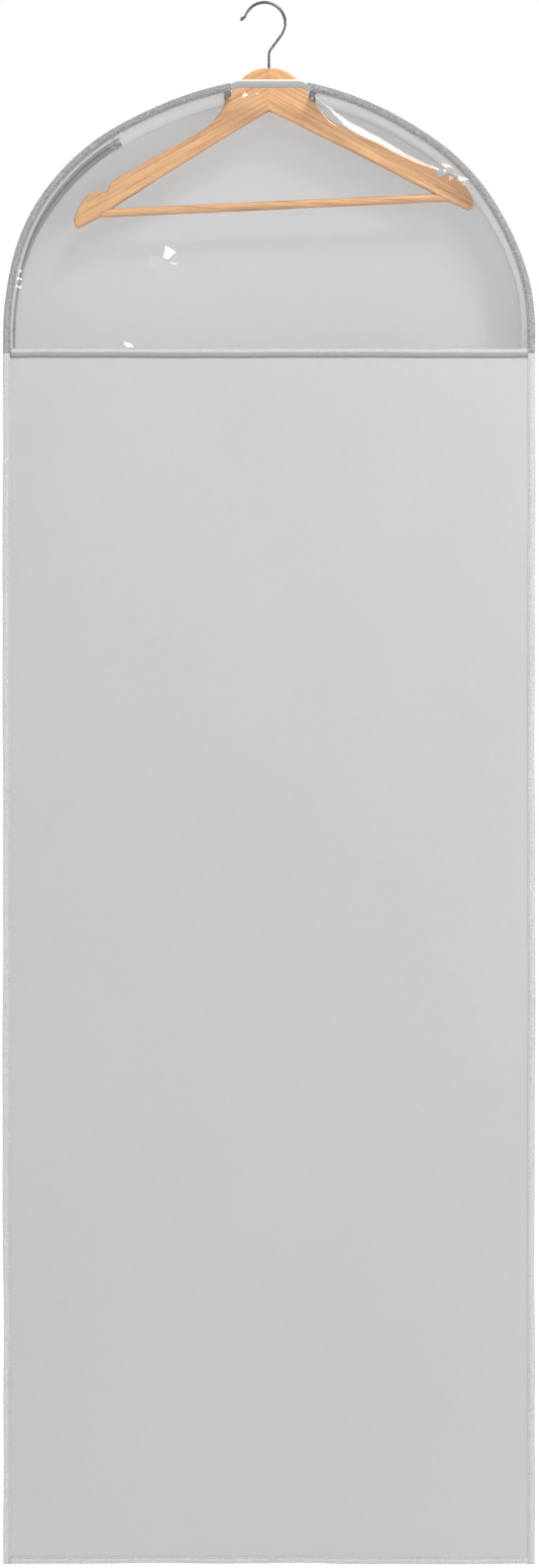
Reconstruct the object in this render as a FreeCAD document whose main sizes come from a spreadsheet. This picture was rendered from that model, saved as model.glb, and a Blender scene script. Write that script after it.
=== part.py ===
import FreeCAD, Part
import math
import os
import Sketcher

# Long gusseted garment bag with an arched clear window, hanging on a wooden hanger.
# Millimetres, +Z up, the front faces -Y. The origin is the point of the hook's inside
# top that rests on a wardrobe rod. The hook's stem, the hanger and the bag share one
# vertical axis, which stands axis_offset to the right of that point.

os.makedirs("parts", exist_ok=True)
doc = FreeCAD.newDocument("GarmentBag")
V = FreeCAD.Vector

# ---------------------------------------------------------------- driving dimensions
sheet = doc.addObject("Spreadsheet::Sheet", "Dims")
CELLS = [
    ("axis_offset", 5.0, "swivel axis, right of the rod's resting point"),
    # bag
    ("half_width", 300.0, "half the width over the bound edges"),
    ("gusset_depth", 75.0, "front panel face to back panel face"),
    ("film", 0.6, "thickness of every panel"),
    ("binding_width", 8.0, "folded binding over the seam allowance"),
    ("binding_leg", 0.7, "thickness of one leg of the binding"),
    ("fold", 1.2, "web of the folded binding at the outer edge"),
    ("bag_bottom", -1769.3, "lowest bound edge"),
    ("arch_base", -377.0, "where the arch meets the straight sides"),
    ("low_radius", 284.1, "arch radius next to the straight side"),
    ("mid_radius", 260.0, "arch radius at the shoulder"),
    ("top_radius", 422.45, "arch radius next to the neck"),
    ("low_angle", 0.2, "radians swept by the lowest arc"),
    ("mid_angle", 1.0128, "radian where the top arc starts"),
    ("neck_half", 46.0, "half the neck binding on each face"),
    ("neck_gap", 54.2, "half the gap in the gusset at the neck"),
    ("neck_crown", -93.8, "top edge of the neck binding"),
    ("neck_flat", 36.0, "half of the straight stretch of the neck binding"),
    ("neck_foot", -102.7, "lower edge of the neck binding"),
    ("window_seam", -402.3, "clear window above, grey panel below"),
    ("bar_half", 4.5, "half the height of the tape over the window seam"),
    ("bar_thick", 0.8, "thickness of that tape"),
    # zipper on the left gusset
    ("tape_half", 12.0, "half the width of the zipper's two tapes"),
    ("coil_out", 3.4, "outer edge of a coil row from the zipper's middle"),
    ("coil_in", 1.0, "inner edge of a coil row from the zipper's middle"),
    ("coil_high", 0.9, "how far a coil row stands proud of the tape"),
    ("zip_foot", -1750.3, "lower end of the zipper"),
    ("slider_at", -365.3, "middle of the slider, at the top of the straight run"),
    ("slider_long", 11.0, "length of the slider"),
    ("slider_half", 5.2, "half the width of the slider"),
    ("tab_long", 28.0, "pull tab from its pin to its tip"),
    ("tab_wide", 8.4, "width of the pull tab"),
    ("pin_radius", 0.9, "radius of the pull tab's pin"),
    # hanger
    ("hanger_thick", 12.0, "thickness of the wooden arms"),
    ("hanger_scale", 1.0, "scale of the wooden outline; 1 is 455 across the tips"),
    ("apex", -122.0, "underside of the wood at the middle"),
    ("tilt", 2.65, "degrees by which the left arm hangs lower"),
    ("rod_bar_radius", 5.0, "trouser bar"),
    ("rod_bar_drop", -107.7, "trouser bar below the apex"),
    ("rod_bar_half", 208.0, "half the trouser bar's length, sockets included"),
    # hook
    ("wire_radius", 1.7, "hook wire"),
    ("loop_radius", 23.5, "hook loop, to the wire's middle"),
    ("loop_shift", -5.0, "middle of the loop from the swivel axis"),
    ("bore_radius", 1.95, "hole down through the wood for the stem"),
    ("head_radius", 3.4, "formed head that keeps the stem in the wood"),
    ("head_long", 2.2, "thickness of that head"),
    ("pocket_radius", 4.4, "counterbore for the head"),
    ("pocket_deep", 9.0, "depth of the counterbore above the apex"),
]
D = {}
for row, (alias, value, note) in enumerate(CELLS, start=1):
    sheet.set("A%d" % row, alias)
    sheet.set("B%d" % row, repr(value))
    sheet.set("C%d" % row, note)
    sheet.setAlias("B%d" % row, alias)
    D[alias] = value
doc.recompute()

PARTS = []


def finish(obj, label):
    """Names a sub-part and shifts it on to the swivel axis."""
    obj.Label = label
    obj.setExpression("Placement.Base.x", "Dims.axis_offset")
    PARTS.append((obj, label))


def plane(body, role):
    for f in body.Origin.OriginFeatures:
        if f.Role == role:
            return f
    raise RuntimeError(role)


# ---------------------------------------------------------------- outline geometry
class Arc:
    """An arc in the X-Z plane, from angle a to angle b about c, either way round."""

    def __init__(self, c, r, a, b):
        self.c, self.r, self.a, self.b = c, r, a, b

    def at(self, t):
        return (self.c[0] + self.r * math.cos(t), self.c[1] + self.r * math.sin(t))

    def ends(self):
        return self.at(self.a), self.at(self.b)

    def back(self):
        return Arc(self.c, self.r, self.b, self.a)

    def mirror(self):
        return Arc((-self.c[0], self.c[1]), self.r, math.pi - self.a, math.pi - self.b)


class Line:
    def __init__(self, p, q):
        self.p, self.q = p, q

    def ends(self):
        return self.p, self.q

    def back(self):
        return Line(self.q, self.p)

    def mirror(self):
        return Line((-self.p[0], self.p[1]), (-self.q[0], self.q[1]))


def arcs():
    """Centres and radii of the right half of the arch, tangent to each other."""
    r1, r2, r3 = D["low_radius"], D["mid_radius"], D["top_radius"]
    c1 = (D["half_width"] - r1, D["arch_base"])
    a, b = D["low_angle"], D["mid_angle"]
    c2 = (c1[0] + (r1 - r2) * math.cos(a), c1[1] + (r1 - r2) * math.sin(a))
    c3 = (c2[0] + (r2 - r3) * math.cos(b), c2[1] + (r2 - r3) * math.sin(b))
    return (c1, r1), (c2, r2), (c3, r3), a, b


def arch(inset, x_end=None, first=0, last=3, x_arc=2):
    """Arcs of the right half at an inset, from the straight side up to x_end."""
    (c1, r1), (c2, r2), (c3, r3), a, b = arcs()
    end = math.pi / 2
    if x_end is not None:
        end = math.acos((x_end - c3[0]) / (r3 - inset))
    full = [
        Arc(c1, r1 - inset, 0.0, a),
        Arc(c2, r2 - inset, a, b),
        Arc(c3, r3 - inset, b, end),
    ]
    return full[first:last]


def close_up(pieces):
    """Joins the ends of successive pieces with straight lines where they don't meet."""
    out = []
    n = len(pieces)
    for i, p in enumerate(pieces):
        out.append(p)
        q = pieces[(i + 1) % n]
        e, s = p.ends()[1], q.ends()[0]
        if math.hypot(e[0] - s[0], e[1] - s[1]) > 1e-6:
            out.append(Line(e, s))
    return out


def band(d_out, d_in, **kw):
    """A closed curved band between two insets."""
    outer = arch(d_out, **kw)
    inner = [p.back() for p in reversed(arch(d_in, **kw))]
    return close_up(outer + inner)


def mirrored(loop):
    return [p.mirror() for p in loop]


def poly(points):
    return [Line(points[i], points[(i + 1) % len(points)]) for i in range(len(points))]


def draw(sk, loop):
    """Adds a loop to a sketch, with coincident ends and its radii as constraints."""
    first = sk.GeometryCount
    ends = []
    for p in loop:
        if isinstance(p, Line):
            sk.addGeometry(
                Part.LineSegment(V(p.p[0], p.p[1], 0), V(p.q[0], p.q[1], 0)), False
            )
            ends.append({1: p.p, 2: p.q})
        else:
            circle = Part.Circle(V(p.c[0], p.c[1], 0), V(0, 0, 1), p.r)
            lo, hi = min(p.a, p.b), max(p.a, p.b)
            sk.addGeometry(Part.ArcOfCircle(circle, lo, hi), False)
            ends.append({1: p.at(lo), 2: p.at(hi)})
    n = len(loop)
    if n < 2:
        return
    for i in range(n):
        j = (i + 1) % n
        e = loop[i].ends()[1]
        pi = min((1, 2), key=lambda s: math.dist(ends[i][s], e))
        pj = min((1, 2), key=lambda s: math.dist(ends[j][s], e))
        sk.addConstraint(
            Sketcher.Constraint("Coincident", first + i, pi, first + j, pj)
        )


def sketch(body, name, role="XZ_Plane", offset=None):
    sk = body.newObject("Sketcher::SketchObject", name)
    sk.AttachmentSupport = [(plane(body, role), "")]
    sk.MapMode = "FlatFace"
    if offset is not None:
        sk.setExpression("AttachmentOffset.Base.z", offset)
    return sk


def plate(label, loops, front, back, slot=None):
    """A flat or curved piece cut square to Y, from front to back (expressions in Y).
    slot, if given, is (loops, front, back), pocketed out of it."""
    body = doc.addObject("PartDesign::Body", "Body_" + label)
    sk = sketch(body, "Outline_" + label, offset="-(%s)" % back)
    for loop in loops:
        draw(sk, loop)
    pad = body.newObject("PartDesign::Pad", "Pad_" + label)
    pad.Profile = sk
    pad.setExpression("Length", "(%s) - (%s)" % (back, front))
    if slot is not None:
        doc.recompute()
        before = pad.Shape.Volume
        cut = sketch(body, "Slot_" + label, offset="-(%s)" % slot[1])
        for loop in slot[0]:
            draw(cut, loop)
        pocket = body.newObject("PartDesign::Pocket", "Pocket_" + label)
        pocket.Profile = cut
        pocket.setExpression("Length", "(%s) - (%s)" % (slot[2], slot[1]))
        doc.recompute()
        if not pocket.Shape.isNull() and before - pocket.Shape.Volume < 1.0:
            pocket.Reversed = True
            doc.recompute()
        assert before - pocket.Shape.Volume > 1.0, label + ": the slot cut nothing"
    finish(body, label)
    return body


def block(label, x, y, z):
    """A box-shaped piece whose six faces are expressions: a sketched rectangle, padded."""
    body = doc.addObject("PartDesign::Body", "Body_" + label)
    sk = sketch(body, "Outline_" + label, offset="-(%s)" % y[1])
    x0, x1, z0, z1 = (value(e) for e in (x[0], x[1], z[0], z[1]))
    draw(sk, poly([(x0, z0), (x1, z0), (x1, z1), (x0, z1)]))
    for g in (0, 2):
        sk.addConstraint(Sketcher.Constraint("Horizontal", g))
    for g in (1, 3):
        sk.addConstraint(Sketcher.Constraint("Vertical", g))
    for name, kind, geo, expr, val in (
        ("left", "DistanceX", 0, x[0], x0),
        ("low", "DistanceY", 0, z[0], z0),
        ("right", "DistanceX", 2, x[1], x1),
        ("high", "DistanceY", 2, z[1], z1),
    ):
        i = sk.addConstraint(Sketcher.Constraint(kind, -1, 1, geo, 1, val))
        sk.renameConstraint(i, name)
        sk.setExpression("Constraints." + name, expr)
    pad = body.newObject("PartDesign::Pad", "Pad_" + label)
    pad.Profile = sk
    pad.setExpression("Length", "(%s) - (%s)" % (y[1], y[0]))
    finish(body, label)
    return body


def value(expr):
    """The number that an expression of the sheet's cells stands for."""
    names = dict(("Dims." + k, v) for k, v in D.items())
    text = str(expr)
    for k in sorted(names, key=len, reverse=True):
        text = text.replace(k, "(%r)" % names[k])
    total, sign = 0.0, 1.0
    return simple(text)


def simple(text):
    """Adds, subtracts and divides plain numbers in brackets."""
    tokens, i = [], 0
    while i < len(text):
        c = text[i]
        if c.isspace():
            i += 1
        elif c in "()+-*/":
            tokens.append(c)
            i += 1
        else:
            j = i
            while j < len(text) and (text[j].isdigit() or text[j] in ".e"):
                j += 1
            tokens.append(float(text[i:j]))
            i = j
    pos = [0]

    def atom():
        t = tokens[pos[0]]
        pos[0] += 1
        if t == "(":
            r = add()
            pos[0] += 1
            return r
        if t == "-":
            return -atom()
        return t

    def mul():
        r = atom()
        while pos[0] < len(tokens) and tokens[pos[0]] in ("*", "/"):
            op = tokens[pos[0]]
            pos[0] += 1
            r = r * atom() if op == "*" else r / atom()
        return r

    def add():
        r = mul()
        while pos[0] < len(tokens) and tokens[pos[0]] in ("+", "-"):
            op = tokens[pos[0]]
            pos[0] += 1
            r = r + mul() if op == "+" else r - mul()
        return r

    return add()


# ---------------------------------------------------------------- Y stations
H = "Dims.gusset_depth / 2"
FRONT = "-(%s)" % H  # outer face of the front panels
FRONT_IN = "Dims.film - %s" % H
BACK = H
BACK_IN = "%s - Dims.film" % H
F_OUT = "-(%s) - Dims.binding_leg" % H
F_LEG = "Dims.film - %s + Dims.binding_leg" % H
B_OUT = "%s + Dims.binding_leg" % H
B_LEG = "%s - Dims.film - Dims.binding_leg" % H

hw, bw, film = D["half_width"], D["binding_width"], D["film"]
edge = D["fold"] + 0.3  # the panels' own edge, inside the fold
foot = D["bag_bottom"]
seam = D["window_seam"]
nh = D["neck_half"]
base = D["arch_base"]

# ---------------------------------------------------------------- panels
top_z = D["neck_crown"] - D["fold"] - 0.3


def half_outline(d, low, x_top, z_top):
    """Right half of a panel from its low corner up to the neck, at inset d."""
    side = arch(d, x_end=x_top)
    start = (hw - d, low)
    out = [Line(start, side[0].ends()[0])] + side
    return out


def panel_loop(d, low):
    right = half_outline(d, low, nh, None)
    end = right[-1].ends()[1]
    left = [p.back() for p in reversed(mirrored(right))]
    flat = D["neck_flat"]
    top = poly_open([end, (flat, top_z), (-flat, top_z), (-end[0], end[1])])
    return right + top + left + [Line((-(hw - d), low), (hw - d, low))]


def poly_open(points):
    return [Line(points[i], points[i + 1]) for i in range(len(points) - 1)]


plate("front_window", [panel_loop(edge, seam)], FRONT, FRONT_IN)
block(
    "front_panel",
    ("-(Dims.half_width - Dims.fold - 0.3)", "Dims.half_width - Dims.fold - 0.3"),
    (FRONT, FRONT_IN),
    ("Dims.bag_bottom + Dims.fold + 0.3", "Dims.window_seam"),
)
plate("back_panel", [panel_loop(edge, foot + edge)], BACK_IN, BACK)

# ---------------------------------------------------------------- gussets
GX = "Dims.half_width - Dims.binding_width"
block(
    "right_side_gusset",
    (GX + " - Dims.film", GX),
    (FRONT_IN, BACK_IN),
    ("Dims.bag_bottom + Dims.binding_width", "Dims.arch_base"),
)
plate(
    "right_arch_gusset",
    [band(bw, bw + film, x_end=D["neck_gap"])],
    FRONT_IN,
    BACK_IN,
)
block(
    "bottom_gusset",
    ("-(%s - Dims.film)" % GX, GX + " - Dims.film"),
    (FRONT_IN, BACK_IN),
    (
        "Dims.bag_bottom + Dims.binding_width",
        "Dims.bag_bottom + Dims.binding_width + Dims.film",
    ),
)
for name, y in (
    ("front", (FRONT_IN, "-(Dims.tape_half)")),
    ("back", ("Dims.tape_half", BACK_IN)),
):
    block(
        "left_side_gusset_" + name,
        ("-(%s)" % GX, "-(%s - Dims.film)" % GX),
        y,
        ("Dims.bag_bottom + Dims.binding_width", "Dims.arch_base"),
    )
    plate(
        "left_arch_gusset_" + name,
        [mirrored(band(bw, bw + film, last=2))],
        y[0],
        y[1],
    )
plate(
    "left_arch_gusset_top",
    [mirrored(band(bw, bw + film, x_end=D["neck_gap"], first=2))],
    FRONT_IN,
    BACK_IN,
)
block(
    "left_gusset_foot",
    ("-(%s)" % GX, "-(%s - Dims.film)" % GX),
    ("-(Dims.tape_half)", "Dims.tape_half"),
    ("Dims.bag_bottom + Dims.binding_width", "Dims.zip_foot"),
)

# ---------------------------------------------------------------- folded bindings
F_SLOT = (FRONT, FRONT_IN)
B_SLOT = (BACK_IN, BACK)
leg_in = bw - 0.2


def arch_binding(label, mirror, y, slot_y):
    d0, d1 = 0.0, bw
    low = seam

    def strip(a, b):
        o = arch(a, x_end=nh)
        i = [p.back() for p in reversed(arch(b, x_end=nh))]
        outer = [Line((hw - a, low), o[0].ends()[0])] + o
        inner = i + [Line(i[-1].ends()[1], (hw - b, low))]
        return close_up(outer + inner)

    loop, cut = strip(d0, d1), strip(D["fold"], d1 + 3.0)
    if mirror:
        loop, cut = mirrored(loop), mirrored(cut)
    plate(label, [loop], y[0], y[1], (  [cut], slot_y[0], slot_y[1]))


def side_binding(label, mirror, y, slot_y):
    loop = poly([(hw, foot), (hw, seam), (hw - bw, seam), (hw - bw, foot)])
    f = D["fold"]
    # the slot turns the lower corner, so that the panel's corner sits in the fold
    cut = poly(
        [
            (hw - f, foot + f),
            (hw - f, seam + 1.0),
            (hw - bw - 3.0, seam + 1.0),
            (hw - bw - 3.0, foot + f),
        ]
    )
    if mirror:
        loop, cut = mirrored(loop), mirrored(cut)
    plate(label, [loop], y[0], y[1], ([cut], slot_y[0], slot_y[1]))


for where, y, slot_y in (
    ("front", (F_OUT, F_LEG), F_SLOT),
    ("back", (B_LEG, B_OUT), B_SLOT),
):
    for side, mirror in (("right", False), ("left", True)):
        arch_binding("%s_arch_binding_%s" % (where, side), mirror, y, slot_y)
        side_binding("%s_side_binding_%s" % (where, side), mirror, y, slot_y)
    f = D["fold"]
    plate(
        where + "_hem_binding",
        [poly([(-(hw - bw), foot), (hw - bw, foot), (hw - bw, foot + bw), (-(hw - bw), foot + bw)])],
        y[0],
        y[1],
        (
            [poly([(-(hw - bw) - 1, foot + f), (hw - bw + 1, foot + f), (hw - bw + 1, foot + bw + 3), (-(hw - bw) - 1, foot + bw + 3)])],
            slot_y[0],
            slot_y[1],
        ),
    )
    # neck binding: straight over the hanger, its ends sloping down to the arch
    end_z = arch(0.0, x_end=nh)[-1].ends()[1][1]
    flat, crown, low = D["neck_flat"], D["neck_crown"], D["neck_foot"]
    slope = (end_z - crown) / (nh - flat)
    plate(
        where + "_neck_binding",
        [poly([(-nh, low), (nh, low), (nh, end_z), (flat, crown), (-flat, crown), (-nh, end_z)])],
        y[0],
        y[1],
        (
            [
                poly(
                    [
                        (-nh - 1, low - 2),
                        (nh + 1, low - 2),
                        (nh + 1, end_z - f + slope),
                        (flat, crown - f),
                        (-flat, crown - f),
                        (-nh - 1, end_z - f + slope),
                    ]
                )
            ],
            slot_y[0],
            slot_y[1],
        ),
    )

# tape over the seam between the window and the panel
block(
    "window_crossbar",
    ("-(%s - 0.2)" % GX, GX + " - 0.2"),
    ("-(%s) - Dims.bar_thick" % H, FRONT),
    ("Dims.window_seam - Dims.bar_half", "Dims.window_seam + Dims.bar_half"),
)

# bindings on the two cut ends of the gusset at the neck: a U over the strip
(c1, r1), (c2, r2), (c3, r3), a_low, a_mid = arcs()


def gusset_point(x, inset):
    t = math.acos((x - c3[0]) / (r3 - inset))
    return (x, c3[1] + (r3 - inset) * math.sin(t))


def neck_end(label, mirror):
    gap = D["neck_gap"]
    x0, x1, x2 = gap - 1.3, gap - 0.2, gap + 8.0
    up, dn = bw - 0.7, bw + film + 0.7
    a0, a1 = gusset_point(x0, up), gusset_point(x2, up)
    b0, b1 = gusset_point(x0, dn), gusset_point(x2, dn)
    i0, i1 = gusset_point(x1, bw - 0.05), gusset_point(x2, bw - 0.05)
    j0, j1 = gusset_point(x1, bw + film + 0.05), gusset_point(x2, bw + film + 0.05)
    loop = poly([a0, a1, i1, i0, j0, j1, b1, b0])
    if mirror:
        loop = mirrored(loop)
    plate(label, [loop], "%s + 0.1" % F_LEG, "%s - 0.1" % B_LEG)


neck_end("neck_end_binding_right", False)
neck_end("neck_end_binding_left", True)

# ---------------------------------------------------------------- zipper
tape_out, tape_in = bw, bw + 0.6


def zip_strip(label, d_out, d_in, y, top=2):
    """A strip that follows the straight side and the lower two arcs of the arch."""
    outer = arch(d_out, last=top)
    inner = [p.back() for p in reversed(arch(d_in, last=top))]
    low = D["zip_foot"]
    loop = close_up(
        [Line((hw - d_out, low), outer[0].ends()[0])]
        + outer
        + inner
        + [Line(inner[-1].ends()[1], (hw - d_in, low))]
    )
    plate(label, [mirrored(loop)], y[0], y[1])


ch = D["coil_high"]
for name, tape_y, coil_y in (
    ("front", ("-(Dims.tape_half)", "-(Dims.coil_out)"), ("-(Dims.coil_out)", "-(Dims.coil_in)")),
    ("back", ("Dims.coil_out", "Dims.tape_half"), ("Dims.coil_in", "Dims.coil_out")),
):
    zip_strip("zipper_tape_" + name, tape_out, tape_in, tape_y)
    zip_strip("zipper_coil_" + name, bw - ch, tape_in + ch, coil_y)

# bottom stop and top stop: small clamps across both coil rows
block(
    "zipper_bottom_stop",
    ("-(%s + Dims.coil_high + 0.8)" % GX, "-(%s + Dims.coil_high)" % GX),
    ("-(Dims.coil_out)", "Dims.coil_out"),
    ("Dims.zip_foot + 2", "Dims.zip_foot + 6"),
)
top_a = D["mid_angle"]


def on_arc(inset, t):
    return (-(c2[0] + (r2 - inset) * math.cos(t)), c2[1] + (r2 - inset) * math.sin(t))


stop_loop = poly(
    [
        on_arc(bw - ch - 0.1, top_a - 0.010),
        on_arc(bw - ch - 0.9, top_a - 0.010),
        on_arc(bw - ch - 0.9, top_a - 0.026),
        on_arc(bw - ch - 0.1, top_a - 0.026),
    ]
)
plate("zipper_top_stop", [stop_loop], "-(Dims.coil_out)", "Dims.coil_out")

# slider: two wings joined by the web that runs between the coil rows, flanges that
# keep it on the tapes, and the bridge that carries the pull tab
gx = -(hw - bw)
sz, sl = D["slider_at"], D["slider_long"] / 2
sh = D["slider_half"]


body = doc.addObject("PartDesign::Body", "Body_zipper_slider")
profile = sketch(body, "Section_zipper_slider", role="XY_Plane", offset="Dims.slider_at - Dims.slider_long / 2")
o1, o0 = gx - ch - 0.4, gx - ch - 2.0  # outer wing
i0, i1 = gx + 0.6 + ch + 0.95, gx + 0.6 + ch + 2.25  # inner wing
fo, fi = gx - 0.4, gx + 0.6 + 0.95  # flange tips, each side of the tape
sec = [
    (o0, -sh), (fo, -sh), (fo, -sh + 0.9), (o1, -sh + 0.9), (o1, -0.55), (i0, -0.55),
    (i0, -sh + 0.9), (fi, -sh + 0.9), (fi, -sh), (i1, -sh), (i1, sh), (fi, sh),
    (fi, sh - 0.9), (i0, sh - 0.9), (i0, 0.55), (o1, 0.55), (o1, sh - 0.9),
    (fo, sh - 0.9), (fo, sh), (o0, sh),
]
draw(profile, poly(sec))
pad = body.newObject("PartDesign::Pad", "Pad_zipper_slider")
pad.Profile = profile
pad.setExpression("Length", "Dims.slider_long")
bridge = sketch(body, "Bridge_zipper_slider", offset="-1.2")
pin_x = o0 - 1.7
bridge_loop = [
    Line((o0 + 0.2, sz - 5.6), (pin_x - 1.4, sz - 5.6)),
    Line((pin_x - 1.4, sz - 5.6), (pin_x - 2.8, sz - 3.6)),
    Line((pin_x - 2.8, sz - 3.6), (pin_x - 2.8, sz + 3.6)),
    Line((pin_x - 2.8, sz + 3.6), (pin_x - 1.4, sz + 5.6)),
    Line((pin_x - 1.4, sz + 5.6), (o0 + 0.2, sz + 5.6)),
    Line((o0 + 0.2, sz + 5.6), (o0 + 0.2, sz + 4.0)),
    Line((o0 + 0.2, sz + 4.0), (pin_x - 0.9, sz + 4.0)),
    Line((pin_x - 0.9, sz + 4.0), (pin_x - 1.4, sz + 3.2)),
    Line((pin_x - 1.4, sz + 3.2), (pin_x - 1.4, sz - 3.2)),
    Line((pin_x - 1.4, sz - 3.2), (pin_x - 0.9, sz - 4.0)),
    Line((pin_x - 0.9, sz - 4.0), (o0 + 0.2, sz - 4.0)),
    Line((o0 + 0.2, sz - 4.0), (o0 + 0.2, sz - 5.6)),
]
draw(bridge, bridge_loop)
arm = body.newObject("PartDesign::Pad", "Pad_bridge")
arm.Profile = bridge
arm.Length = 2.4
finish(body, "zipper_slider")

# pull tab: a flat tongue with an eye, hung on its own round pin through the bridge
tw = D["tab_wide"] / 2
tl = D["tab_long"]
tab = doc.addObject("PartDesign::Body", "Body_pull_tab")
face = sketch(tab, "Face_pull_tab", role="YZ_Plane", offset="%r" % (pin_x - 0.7))
r_tip = tw
outer = [
    Line((-tw, sz), (-tw, sz - tl + r_tip)),
    Arc((0.0, sz - tl + r_tip), r_tip, math.pi, 2 * math.pi),
    Line((tw, sz - tl + r_tip), (tw, sz)),
    Line((tw, sz), (2.2, sz)),
    Line((2.2, sz), (2.2, sz - 8.0)),
    Line((2.2, sz - 8.0), (-2.2, sz - 8.0)),
    Line((-2.2, sz - 8.0), (-2.2, sz)),
    Line((-2.2, sz), (-tw, sz)),
]
draw(face, outer)
tongue = tab.newObject("PartDesign::Pad", "Pad_pull_tab")
tongue.Profile = face
tongue.Length = 1.4
rod = sketch(tab, "Pin_pull_tab", offset="-(Dims.tab_wide / 2)")
rod.addGeometry(Part.Circle(V(pin_x, sz, 0), V(0, 0, 1), D["pin_radius"]), False)
i = rod.addConstraint(Sketcher.Constraint("Radius", 0, D["pin_radius"]))
rod.renameConstraint(i, "pin")
rod.setExpression("Constraints.pin", "Dims.pin_radius")
pin = tab.newObject("PartDesign::Pad", "Pad_pin")
pin.Profile = rod
pin.setExpression("Length", "Dims.tab_wide")
finish(tab, "pull_tab")

# ---------------------------------------------------------------- wooden hanger
ANG = math.radians(D["tilt"])
S = D["hanger_scale"]
AZ = D["apex"]

# half outline of an arm, right side, level, from the apex of the underside
TOP = [(0, 48.1), (10.8, 47.0), (20.5, 43.6), (28.4, 38.4), (35.0, 32.0), (41.2, 24.8), (46.6, 17.0), (50.8, 9.2), (55.0, 1.2), (60.8, -5.6), (67.6, -12.2), (74.6, -17.4), (82.0, -21.8), (104, -33.0), (122.8, -41.9), (139.6, -50.6), (157.4, -59.8), (172.5, -66.8), (181.0, -72.0), (185.4, -76.0)]
NOTCH = [(185.4, -76.0), (187.2, -81.0), (190.2, -84.4), (194.2, -84.0), (198.6, -82.0), (203.4, -82.6)]
TIP = [(203.4, -82.6), (212.6, -88.6), (220.0, -97.6), (225.2, -107.6), (227.4, -115.8), (226.2, -121.2), (220.8, -122.8)]
LOW = [(220.8, -122.8), (206.9, -116.2), (190.5, -107.4), (172.3, -96.2), (156.0, -87.2), (137.7, -76.4), (118.0, -65.2), (98.0, -54.0), (78.0, -42.9), (58.0, -31.6), (38.0, -20.6), (18.0, -9.6), (0, 0)]


def place(p, side):
    """Arm coordinates to the X-Z plane, with the hanger's tilt. side is 1 right, -1 left."""
    x, z = side * p[0] * S, p[1] * S
    c, s = math.cos(ANG), math.sin(ANG)
    return (x * c - z * s, x * s + z * c + AZ)


def arm_body(label, side):
    body = doc.addObject("PartDesign::Body", "Body_" + label)
    sk = sketch(body, "Outline_" + label, offset="-(Dims.hanger_thick / 2)")
    # the halves meet on the vertical swivel axis
    curves = []
    for pts in (TOP, NOTCH, TIP, LOW):
        q = [place(p, side) for p in pts]
        if pts is TOP:
            q[0] = (0.0, q[0][1])
        if pts is LOW:
            q[-1] = (0.0, q[-1][1])
        b = Part.BSplineCurve()
        b.interpolate([V(x, z, 0) for x, z in q])
        curves.append((b, q))
    for b, q in curves:
        sk.addGeometry(b, False)
    top0, low1 = curves[0][1][0], curves[3][1][-1]
    sk.addGeometry(Part.LineSegment(V(low1[0], low1[1], 0), V(top0[0], top0[1], 0)), False)
    pad = body.newObject("PartDesign::Pad", "Pad_" + label)
    pad.Profile = sk
    pad.setExpression("Length", "Dims.hanger_thick")
    doc.recompute()
    # rounded long edges
    edges = []
    for n, e in enumerate(pad.Shape.Edges, start=1):
        b = e.BoundBox
        if b.YLength < 0.01 and b.XLength > 12.0:
            edges.append("Edge%d" % n)
    fillet = body.newObject("PartDesign::Fillet", "Round_" + label)
    fillet.Base = (pad, edges)
    fillet.Radius = 2.6
    doc.recompute()
    if "Invalid" in fillet.State or fillet.Shape.isNull() or not fillet.Shape.isValid():
        raise RuntimeError(label + ": fillet failed")
    # half of the bore for the stem, and of the counterbore for its head
    for nm, r, z0, z1 in (
        ("bore", "Dims.bore_radius", None, None),
        ("pocket", "Dims.pocket_radius", None, "Dims.apex + Dims.pocket_deep"),
    ):
        top = "Dims.apex + 60" if z1 is None else z1
        hole = sketch(body, "%s_%s" % (nm, label), role="XY_Plane", offset=top)
        hole.addGeometry(Part.Circle(V(0, 0, 0), V(0, 0, 1), D[nm + "_radius"]), False)
        i = hole.addConstraint(Sketcher.Constraint("Radius", 0, D[nm + "_radius"]))
        hole.renameConstraint(i, "round")
        hole.setExpression("Constraints.round", r)
        doc.recompute()
        before = body.Shape.Volume
        drill = body.newObject("PartDesign::Pocket", "Cut_%s_%s" % (nm, label))
        drill.Profile = hole
        drill.Length = 80.0
        doc.recompute()
        if before - drill.Shape.Volume < 1.0:
            drill.Reversed = True
            doc.recompute()
        assert before - drill.Shape.Volume > 1.0, label + ": " + nm
    return body


def socket(name):
    """The round bar, or the hole that takes it: one cylinder along the tilted bar."""
    c = doc.addObject("Part::Cylinder", name)
    c.setExpression("Radius", "Dims.rod_bar_radius")
    c.setExpression("Height", "2 * Dims.rod_bar_half")
    half = D["rod_bar_half"]
    mid = place((0, D["rod_bar_drop"] / S), 1)
    along = V(math.cos(ANG), 0, math.sin(ANG))
    start = V(mid[0], 0, mid[1]) - along * half
    c.Placement = FreeCAD.Placement(start, FreeCAD.Rotation(V(0, 0, 1), along))
    return c


for label, side in (("hanger_right_arm", 1), ("hanger_left_arm", -1)):
    wood = arm_body(label, side)
    drill = socket("Socket_" + label)
    cut = doc.addObject("Part::Cut", "Arm_" + label)
    cut.Base = wood
    cut.Tool = drill
    finish(cut, label)

rod = socket("Dowel")
rod.Label = "Dowel"
ends = doc.addObject("Part::Chamfer", "Trouser_bar")
ends.Base = rod
doc.recompute()
ends.Edges = [
    (n, 0.8, 0.8)
    for n, e in enumerate(rod.Shape.Edges, start=1)
    if e.Closed and e.Curve.TypeId == "Part::GeomCircle"
]
finish(ends, "trouser_bar")

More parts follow.
